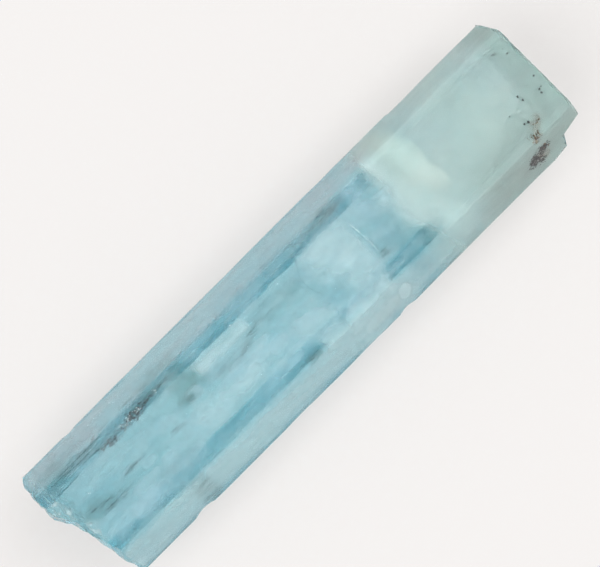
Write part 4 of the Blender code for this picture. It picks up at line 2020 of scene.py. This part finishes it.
@dataclass
class Minerals(Insides):
    """The dark grains, the rusty stain and the flakes, whose white is a painted glint."""

    room: tuple = (0.0002, 0.00017)
    speck_room: tuple = (0.0002, 0.0002)
    rust_room: tuple = (0.0002, 0.00018)
    black_seed: int = 31
    head_seed: int = 33
    speck_seed: int = 36
    rust_seed: int = 32
    flake_seed: int = 33

    def grains(self) -> None:
        """The black and dark brown grains."""
        black = GrainFinish("black_grain", (0.008, 0.013, 0.018), (0.035, 0.04, 0.043))
        clusters = [
            Cluster(-18.6, 3.9, 0.9, (1.4, 0.2, 0.3), 8),
            Cluster(-20.6, 4, 0.8, (1.4, 0.3, 0.3), 24),
            Cluster(-22.7, 4.2, 0.7, (1.5, 0.6, 0.3), 130),
            Cluster(-24.6, 4.3, 0.7, (1.2, 0.4, 0.3), 8),
            Cluster(-26.8, 4.5, 0.7, (1.3, 0.45, 0.3), 60),
            Cluster(-28.2, 4.4, 0.8, (1, 0.3, 0.3), 8),
        ]
        values = {"Smallest": 0.00004, "Largest": 0.00017, "Stretch": 2.2, "Turn": 0.5}
        self.scatter("black_grains", black, clusters, values, self.room, self.black_seed)
        at_head = [
            Cluster(33.7, 15.9, 0.32, (0.8, 0.35, 0.05), 100, True),
            Cluster(32.1, 16.4, 0.32, (1, 0.5, 0.05), 150, True),
            Cluster(32.9, 17, 0.32, (0.6, 0.3, 0.05), 24, True),
        ]
        values = {"Smallest": 0.00007, "Largest": 0.0002, "Stretch": 1.8, "Turn": 0.6}
        self.scatter("head_grains", black, at_head, values, self.room, self.head_seed)
        specks = [
            Cluster(35.5, 9.5, 0.3, (0.15, 0.15, 0.04), 2),
            Cluster(35.5, 10.3, 0.3, (0.15, 0.15, 0.04), 2),
            Cluster(33.2, 10.6, 0.3, (0.15, 0.15, 0.04), 1),
            Cluster(34.1, 12.6, 0.3, (0.3, 0.3, 0.04), 3),
            Cluster(38.1, 4.3, 0.3, (0.1, 0.1, 0.04), 1),
            Cluster(38.1, 5.1, 0.3, (0.1, 0.1, 0.04), 1),
            Cluster(38.2, 9.8, 0.3, (0.4, 1.5, 0.04), 4),
            Cluster(37, 3.9, 0.8, (0.5, 0.5, 0.2), 3),
            Cluster(30, 9, 4, (9, 7, 3), 12),
        ]
        values = {"Smallest": 0.00013, "Largest": 0.00026, "Stretch": 1.2, "Turn": 3.0}
        self.scatter("dark_specks", black, specks, values, self.speck_room, self.speck_seed)

    def rust(self) -> None:
        """The rusty grains and the stain round them."""
        rust = GrainFinish("rust_grain", (0.22, 0.10, 0.035), (0.09, 0.045, 0.02))
        clusters = [
            Cluster(33.6, 14.4, 0.28, (0.7, 0.4, 0.06), 34, True),
            Cluster(34.8, 13.2, 0.28, (0.5, 0.4, 0.06), 5, True),
            Cluster(34, 15.7, 0.28, (0.6, 0.3, 0.06), 12, True),
            Cluster(-24.6, 4.6, 0.7, (0.5, 0.3, 0.3), 7),
        ]
        values = {"Smallest": 0.00006, "Largest": 0.0002, "Stretch": 1.4, "Turn": 3.0}
        self.scatter("rusty_grains", rust, clusters, values, self.rust_room, self.rust_seed)
        colours = ((0.62, 0.45, 0.35), (0.50, 0.36, 0.28))
        stain = CloudFinish("rust_stain", *colours, 0.6, 1100, 0.9, 0.3, 0.7, 0.2)
        on_skin = {"lie": Lie.SKIN, "cell": 0.15, "wave": 0.05}
        sheets = [
            Patch(oval(34.6, 13.3, 1.5, 0.9, -38), 0.33, 0.8, 0.9, seed=81, wave=0, lie=Lie.SKIN),
            Patch(oval(33.6, 14.5, 0.9, 0.7), 0.31, 0.9, 0.9, seed=82, **on_skin),
            Patch(oval(32.8, 16.4, 1.7, 0.8, 14), 0.33, 0.9, 0.9, seed=83, **on_skin),
            Patch(oval(-24.4, 4.5, 0.7, 0.5), 1, 0.9, 0.8, seed=84, wave=0.1, cell=0.15),
        ]
        self.lay("rust_stain", stain, sheets, Slot.DARK)

    def flakes(self) -> None:
        """The tiny flakes: real flakes, but their plain white is a painted glint."""
        # Painted glint: plain white diffuse flakes stand in for light glinting off real flakes
        bright = GrainFinish("flake_painted_glint", (1, 1, 1), (0.9, 0.98, 1), roughness=0.2)
        clusters = [
            Cluster(-7.3, 4.8, 0.5, (0.1, 0.1, 0.05), 2),
            Cluster(-8.8, 11.4, 0.4, (0.1, 0.1, 0.05), 2),
            Cluster(4.5, 10.4, 0.4, (0.1, 0.1, 0.05), 1),
            Cluster(-18.9, 3.8, 0.4, (0.6, 0.25, 0.05), 6),
            Cluster(-22.4, 4, 0.34, (2.6, 0.5, 0.06), 26),
            Cluster(-28, 1.6, 3.4, (8, 1, 1.2), 24),
            Cluster(-32.9, 7, 0.4, (0.1, 0.1, 0.05), 2),
            Cluster(10.1, 17.7, 5.9, (0.5, 0.2, 0.2), 8),
            Cluster(-38, 7, 2, (0.6, 2.5, 1.5), 18),
            Cluster(0, 9, 5, (26, 7, 4), 16),
        ]
        values = {"Smallest": 0.00006, "Largest": 0.00016, "Flatness": 0.25, "Turn": 0.7}
        self.scatter("flakes_painted_glint", bright, clusters, values, self.rust_room, self.flake_seed, Slot.VEIL)

    def build(self) -> None:
        """Makes every grain, stain and flake."""
        self.grains()
        self.rust()
        self.flakes()


@dataclass
class CrushedFoot(Insides):
    """The whitish crushed beryl just inside the fracture."""

    def build(self) -> None:
        """Makes upright sheets that follow the fracture at small distances."""
        colours = ((0.93, 0.96, 0.95), (0.78, 0.88, 0.88))
        finish = CloudFinish("crushed_beryl", *colours, 0.9, 900, 1, 0.40, 0.62, 0.05)
        whole = (
            (0.2, -1), (0.2, 9), (0.2, 19.5), (7, 20),
            (14.4, 19), (14.4, 9), (14.4, -1), (7, -1.5),
        )
        upper = ((0.3, 3), (0.3, 12), (3.4, 12.5), (5.4, 8), (3.4, 2.6))
        sheets = [
            Patch(whole, -36.6, 0.5, 0.25, wave=0.6, seed=91, lie=Lie.BASAL),
            Patch(upper, -37.2, 0.9, 0.5, wave=0.5, seed=92, lie=Lie.BASAL),
            Patch(upper, -36.2, 0.6, 0.5, wave=0.5, seed=93, rise_first=20, lie=Lie.BASAL),
            Patch(oval(-37.2, 7.2, 1.4, 2.6, 10), 1, 0.9, 0.7, seed=94),
            Patch(oval(-36.4, 11, 1.6, 2.6, 24), 1.4, 0.8, 0.7, seed=95),
        ]
        self.lay("crushed_foot", finish, sheets)


@dataclass
class Studio:
    """The pale floor, the soft light and the camera."""

    floor_half: float = 3.0
    floor_gap: float = 0.00012
    floor_colour: tuple = (0.250, 0.243, 0.238, 1.0)
    floor_glow: float = 0.49
    glow_colour: tuple = (1.0, 0.985, 0.975, 1.0)
    sky_colour: tuple = (1.0, 0.975, 0.965, 1.0)
    sky: float = 0.80
    panel_size: float = 1.1
    panel_place: tuple[float, float] = (0.8, 1.1)
    panel_glow: float = 3.45
    lens: float = 150.0
    sensor: float = 36.0
    camera_height: float = 0.30
    framing: tuple[float, float] = (-0.00011, 0.00284)

    def floor(self) -> None:
        """A large pale sheet, a hair under the crystal, that glows softly."""
        half, low = self.floor_half, -self.floor_gap
        corners = [(-half, -half, low), (half, -half, low), (half, half, low), (-half, half, low)]
        mesh = bpy.data.meshes.new("floor")
        mesh.from_pydata(corners, [], [(0, 1, 2, 3)])
        material, _, shader, _ = blank_material("pale_floor")
        shader.inputs["Base Color"].default_value = self.floor_colour
        shader.inputs["Roughness"].default_value = 0.9
        shader.inputs["Specular IOR Level"].default_value = 0.0
        shader.inputs["Emission Color"].default_value = self.glow_colour
        shader.inputs["Emission Strength"].default_value = self.floor_glow
        mesh.materials.append(material)
        linked("floor", mesh)

    def light(self) -> None:
        """A plain soft sky and a large soft panel high up beyond each end of the crystal."""
        world = bpy.data.worlds.new("soft_studio")
        bpy.context.scene.world = world
        world.use_nodes = True
        backdrop = world.node_tree.nodes["Background"]
        backdrop.inputs["Color"].default_value = self.sky_colour
        backdrop.inputs["Strength"].default_value = self.sky
        for name, way in (("head_panel", 1), ("foot_panel", -1)):
            panel = bpy.data.lights.new(name, "AREA")
            panel.shape = "SQUARE"
            panel.size = self.panel_size
            panel.energy = self.panel_glow * math.pi * self.panel_size ** 2
            lamp = bpy.data.objects.new(name, panel)
            place = Vector((way * self.panel_place[0], 0.0, self.panel_place[1]))
            aim = place.to_track_quat("Z", "Y").to_matrix().to_4x4()
            lamp.matrix_world = Matrix.Translation(place) @ aim
            bpy.context.scene.collection.objects.link(lamp)

    def camera(self) -> None:
        """Looks straight down, with the crystal's head at the upper right."""
        lens = bpy.data.cameras.new("camera")
        lens.lens = self.lens
        lens.sensor_width = self.sensor
        lens.clip_start = 0.01
        eye = bpy.data.objects.new("camera", lens)
        bpy.context.scene.collection.objects.link(eye)
        right = Vector((1, -1, 0)).normalized()
        up = Vector((1, 1, 0)).normalized()
        back = Vector((0, 0, 1))
        look = right * self.framing[0] + up * self.framing[1] + back * BOX_HIGH.z / 2
        pose = Matrix((right, up, back)).transposed().to_4x4()
        pose.translation = look + back * self.camera_height
        eye.matrix_world = pose
        bpy.context.scene.camera = eye

    def picture(self) -> None:
        """Plain tones, and enough bounces for light in a clear stone."""
        scene = bpy.context.scene
        scene.view_settings.view_transform = "Standard"
        scene.cycles.max_bounces = 28
        scene.cycles.transmission_bounces = 28
        scene.cycles.glossy_bounces = 16
        scene.cycles.diffuse_bounces = 6
        scene.cycles.transparent_max_bounces = 40
        scene.cycles.denoising_prefilter = "FAST"

    def build(self) -> None:
        """Sets the whole stage."""
        self.floor()
        self.light()
        self.camera()
        self.picture()


def main() -> None:
    """Builds the crystal and what is in it, then the stage, and reports each piece."""
    logging.basicConfig(level=logging.INFO, format="%(name)s %(message)s")
    groups = Groups()
    CrystalBody().build(BerylFinish().build(groups))
    Clouds(groups).build()
    Shades(groups).build()
    GrowthSectors(groups).build()
    Needles(groups).build()
    Minerals(groups).build()
    CrushedFoot(groups).build()
    Studio().build()


if __name__ == "__main__":
    main()
